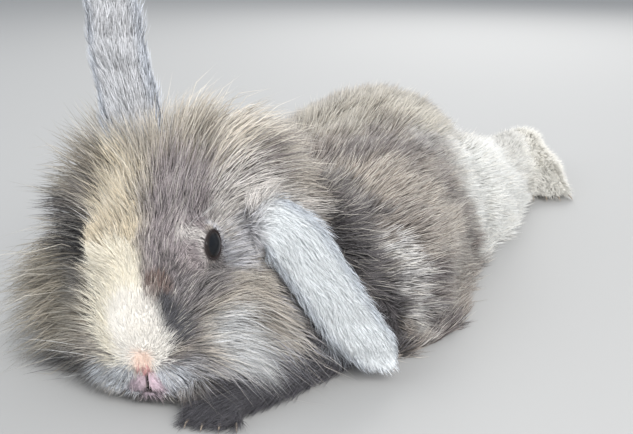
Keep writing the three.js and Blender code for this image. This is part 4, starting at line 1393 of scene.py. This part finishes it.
# %% Eyeballs
def eyeball(side, rings=40, sides=56):
    """A sphere about the gaze. Its point at angle a from the gaze and turn b round it lies towards
    cosine a times the gaze plus sine a times the sum of the eye's way along by cosine b and its
    way up by sine b. Returns points, triangles and the angle as a share of a half turn."""
    a = np.linspace(0, math.pi, rings + 2)[1:-1, None, None]
    b = np.linspace(0, 2 * math.pi, sides, endpoint=False)[None, :, None]
    ways = np.cos(a) * GAZE + np.sin(a) * (np.cos(b) * EYE_ALONG + np.sin(b) * EYE_UP)
    points, triangles = closed_tube(ways)
    points[-2:] = GAZE, -GAZE
    polar = np.arccos(np.clip(points @ GAZE, -1, 1)) / math.pi
    local = (EYE_PLACE + EYE_RADIUS * points) * [side, 1, 1]
    return from_head(local), triangles[:, ::side], polar


eyes = []
for side, name in ((1, "left"), (-1, "right")):
    points, triangles, polar = eyeball(side)
    ball = put_mesh("eyeball_" + name, points, triangles)
    give(ball, "Polar", polar)
    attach(ball, "root")
    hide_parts("eye_" + name)
    eyes.append(ball)
print("eyeballs of", 2 * EYE_RADIUS, "mm")

# %% [markdown]
# Whiskers are single stiff hairs, far longer than the coat. They start in rows on the pads beside
# the nose and bow outwards and down, and a few short ones stand over each eye. The claws are small
# bent horns at the ends of the toes.

# %% Whiskers and claws
WHISKER_HALF = 0.17
CLAW_HALF = 0.8
CLAW_HEIGHT = 3.4
HIND_TOE = {"count": 4, "half": 4.9, "long": 12, "fan": 8, "claw": 6.5}
FORE_TOE = {"count": 4, "half": 3.7, "long": 8, "fan": 9, "claw": 4}
# the toes, the place of the paw's middle in mm, and the degrees that it is turned
PAWS = [
    (FORE_TOE, 35, -189, 22), (FORE_TOE, -48, -171, -10),
    (HIND_TOE, 75, 168, 33), (HIND_TOE, -80, 24, -4),
]
BROWS = [(20, 20, 72), (22, 22, 73), (24, 26, 74)]  # where the hairs over an eye start
BROW_WAYS = [(0.7, -0.2, 0.8), (0.8, 0, 0.75), (0.8, 0.2, 0.7)]
BROW_LENGTHS = [13, 16, 12]


def whiskers(side, draw, count=15):
    """Middle lines of one side's whiskers and of the hairs over its eye, in mm of the frame."""
    share, height, back = draw.uniform(0, 1, (3, count))
    places = np.stack([11 + 9 * share, 1.5 + 6 * share**2, 14 + 9 * height], axis=1)
    rise = draw.uniform(-0.4, 0.25, count)
    ways = np.stack([np.full(count, 0.9), 0.1 + 0.5 * back, rise], axis=1)
    lengths = draw.uniform(28, 52, count)
    places = np.concatenate([places, BROWS])
    ways = np.concatenate([ways, BROW_WAYS])
    lengths = np.concatenate([lengths, BROW_LENGTHS])
    t = np.linspace(0, 1, 10)[None, :, None]
    lines = places[:, None] + unit(ways)[:, None] * lengths[:, None, None] * t
    lines[..., 2] -= 0.12 * lengths[:, None] * t[..., 0] ** 2
    lines = from_head(lines * [side, 1, 1])
    lines[..., 2] = np.maximum(lines[..., 2], FLOOR_CLEAR)
    return lines


def claw_lines(toe, x, y, turn):
    """Middle lines of a paw's claws, which leave the toes' tips and bend down to the floor."""
    place = np.arange(toe["count"]) - (toe["count"] - 1) / 2
    lean = np.radians(turn + toe["fan"] * place)
    forward = np.stack([np.sin(lean), -np.cos(lean), 0 * lean], axis=1)
    turned = np.radians(turn)
    shift = 1.55 * toe["half"] * place
    reach = toe["long"] * (1 + 0.12 * (2 - np.abs(place))) - 1.5
    sideways = np.array([np.cos(turned), np.sin(turned), 0])
    base = np.array([x, y, CLAW_HEIGHT]) + shift[:, None] * sideways
    t = np.linspace(0, 1, 6)[None, :, None]
    lines = base[:, None] + forward[:, None] * (reach[:, None, None] + toe["claw"] * (t - 0.35))
    lines[..., 2] -= 2.3 * t[..., 0] ** 2
    return lines


def thin_piece(name, lines, half):
    """An object of tapered blades along lines in the frame's mm."""
    count = len(lines)
    upward = np.tile([0.0, 0, 1], (count, 1))
    return many_blades(name, lines, np.full(count, half), upward, np.zeros(count))[0]


both_sides = np.concatenate([whiskers(side, draw) for side in (1, -1)])
whisker_set = thin_piece("whiskers", both_sides, WHISKER_HALF)
claw_set = thin_piece("claws", np.concatenate([claw_lines(*paw) for paw in PAWS]), CLAW_HALF)
for piece in (whisker_set, claw_set):
    print(piece.name, len(piece.data.polygons), "triangles")

# %% [markdown]
# Finishes are small programs. A Wire is a shader socket that can be written into sums: each
# operator adds its Math node. A Finish holds one material and makes any other node from its type,
# its settings and the values or wires of its sockets.

# %% Writing shaders as sums
class Wire:
    """A socket of a finish. wire * 2 + 1, 1 - wire and the like add Math nodes."""

    def __init__(self, finish, socket):
        self.finish = finish
        self.socket = socket

    def math(self, operation, first, second=0.0):
        """The result of a Math node."""
        return self.finish.node("ShaderNodeMath", {"operation": operation}, {0: first, 1: second})

    def __add__(self, other):
        return self.math("ADD", self, other)

    def __sub__(self, other):
        return self.math("SUBTRACT", self, other)

    def __rsub__(self, other):
        return self.math("SUBTRACT", other, self)

    def __mul__(self, other):
        return self.math("MULTIPLY", self, other)

    def __truediv__(self, other):
        return self.math("DIVIDE", self, other)

    def clamped(self):
        """Kept between 0 and 1."""
        return self.math("MINIMUM", self.math("MAXIMUM", self, 0.0), 1.0)

    __radd__ = __add__
    __rmul__ = __mul__


class Finish:
    """One material: a Principled shader with constants on its own sockets, and what feeds it."""

    def __init__(self, name, constants):
        self.material = bpy.data.materials.new(name)
        self.material.use_nodes = True
        self.tree = self.material.node_tree
        self.tree.nodes.clear()
        self.shader = self.tree.nodes.new("ShaderNodeBsdfPrincipled")
        output = self.tree.nodes.new("ShaderNodeOutputMaterial")
        self.tree.links.new(self.shader.outputs[0], output.inputs["Surface"])
        for socket, value in constants.items():
            self.shader.inputs[socket].default_value = value

    def node(self, kind, settings=None, inputs=None, output=0):
        """Adds a node and returns the wire from one of its outputs."""
        made = self.tree.nodes.new(kind)
        for key, value in (settings or {}).items():
            setattr(made, key, value)
        for key, value in (inputs or {}).items():
            self.join(made.inputs[key], value)
        return Wire(self, made.outputs[output])

    def join(self, socket, value):
        """Leads a wire into a socket, or sets it to a value."""
        if isinstance(value, Wire):
            self.tree.links.new(value.socket, socket)
        else:
            socket.default_value = value

    def feed(self, socket, value):
        """Leads a wire or a value into the Principled shader."""
        self.join(self.shader.inputs[socket], value)

    def read(self, name, output=2):
        """An attribute of the mesh: output 1 is its vector, 2 its value."""
        return self.node("ShaderNodeAttribute", {"attribute_name": name}, output=output)

    def mix(self, first, second, share):
        """Two colours mixed: inputs 0, 6 and 7 are the share and the two colours of a Mix node."""
        inputs = {0: share, 6: first, 7: second}
        return self.node("ShaderNodeMix", {"data_type": "RGBA"}, inputs, output=2)

    def noise(self, scale, detail=2.0):
        """Noise in the object's own metres: scale is how many grains fit in one."""
        where = self.node("ShaderNodeTexCoord", output=3)
        inputs = {"Vector": where, "Scale": scale, "Detail": detail}
        return self.node("ShaderNodeTexNoise", {}, inputs)

    def dress(self, *things):
        """Makes this the one material of each thing."""
        for thing in things:
            thing.data.materials.clear()
            thing.data.materials.append(self.material)


# %% [markdown]
# A hair is darkest at its root and takes the zone's pale tip colour further out, and no two hairs
# take the same share of it. That ticking is most of what makes the coat look soft. The skin under
# it has the same two colours, kept near the root's.

# %% Finish of coat and skin
BLACK = (0, 0, 0, 1)
HAIR_GLOSS = {
    "Roughness": 0.6, "Specular IOR Level": 0.2, "Sheen Weight": 0.15, "Sheen Roughness": 0.5,
}

hair_finish = Finish("coat", HAIR_GLOSS)
along, vary = hair_finish.read("Along"), hair_finish.read("Vary")
patchy = hair_finish.noise(90.0)
share = (along * 1.1 + (vary - 0.5) * 0.9 + (patchy - 0.5) * 0.7).clamped()
tone = hair_finish.mix(hair_finish.read("Deep", 1), hair_finish.read("Tip", 1), share)
hair_finish.feed("Base Color", hair_finish.mix(BLACK, tone, (0.88 + 0.24 * vary).clamped()))
hair_finish.dress(*coat)

under = Finish("under_coat", {"Roughness": 0.85, "Specular IOR Level": 0.15})
fine = under.noise(900.0, 4.0)
tone = under.mix(under.read("Deep", 1), under.read("Tip", 1), (0.4 + (fine - 0.5) * 0.7).clamped())
under.feed("Base Color", tone)
bump = {"Strength": 0.5, "Distance": 0.0005, "Height": fine}
under.feed("Normal", under.node("ShaderNodeBump", {}, bump))
under.dress(skin)

# %% [markdown]
# The eye is nearly black with a thin dark brown iris, under a wet clear coat. Whiskers are white
# and claws like pale horn.

# %% Finish of eyes, whiskers and claws
PUPIL = (0.004, 0.005, 0.007, 1)
IRIS = (0.014, 0.01, 0.009, 1)
IRIS_FROM = 0.19  # the iris begins and ends at these angles from the gaze, as shares of a half turn
IRIS_TO = 0.33
WET = {"Roughness": 0.3, "Specular IOR Level": 0.08, "Coat Weight": 0.35, "Coat Roughness": 0.03}
WHISKER_LOOK = {"Base Color": (0.8, 0.79, 0.77, 1), "Roughness": 0.4}
HORN_LOOK = {"Base Color": (0.33, 0.27, 0.21, 1), "Roughness": 0.35}

wet = Finish("eye", WET)
polar = wet.read("Polar")
ring = ((polar - IRIS_FROM) * 30).clamped() * ((IRIS_TO - polar) * 16).clamped()
wet.feed("Base Color", wet.mix(PUPIL, IRIS, ring))
wet.dress(*eyes)
Finish("whisker", WHISKER_LOOK).dress(whisker_set)
Finish("claw", HORN_LOOK).dress(claw_set)

# %% [markdown]
# A plain pale floor and three broad soft lights, as in a photographer's studio.

# %% Floor and light
FLOOR_SIZE = 4000  # mm from the middle to each side
SKY_COLOUR = (0.88, 0.93, 1.0, 1)
SKY_STRENGTH = 0.75
BODY_MIDDLE = Vector((0, -0.05, 0.05))  # in metres, as the lamps' places and sizes are

corners = np.array([(-1, -1, 0), (1, -1, 0), (1, 1, 0), (-1, 1, 0)]) * FLOOR_SIZE
floor = put_mesh("floor", corners, [(0, 1, 2, 3)], smooth=False)
Finish("floor", {"Base Color": (0.38, 0.375, 0.365, 1), "Roughness": 0.8}).dress(floor)

world = bpy.data.worlds.new("studio")
world.use_nodes = True
sky = world.node_tree.nodes["Background"]
sky.inputs["Color"].default_value = SKY_COLOUR
sky.inputs["Strength"].default_value = SKY_STRENGTH
bpy.context.scene.world = world


def soft_light(name, place, size, power, colour=(1, 1, 1)):
    """A square lamp that looks at the middle of the body."""
    lamp = bpy.data.lights.new(name, "AREA")
    lamp.size, lamp.energy, lamp.color = size, power, colour
    thing = bpy.data.objects.new(name, lamp)
    thing.location = place
    towards = BODY_MIDDLE - Vector(place)
    thing.rotation_euler = towards.to_track_quat("-Z", "Y").to_euler()
    bpy.context.scene.collection.objects.link(thing)


soft_light("key", (1.0, -0.78, 0.92), 0.9, 27)
soft_light("fill", (-0.9, -0.9, 0.7), 1.2, 6, (0.92, 0.96, 1))
soft_light("rim", (-0.3, 1.2, 0.9), 0.8, 14)
bpy.context.scene.view_settings.view_transform = "Standard"
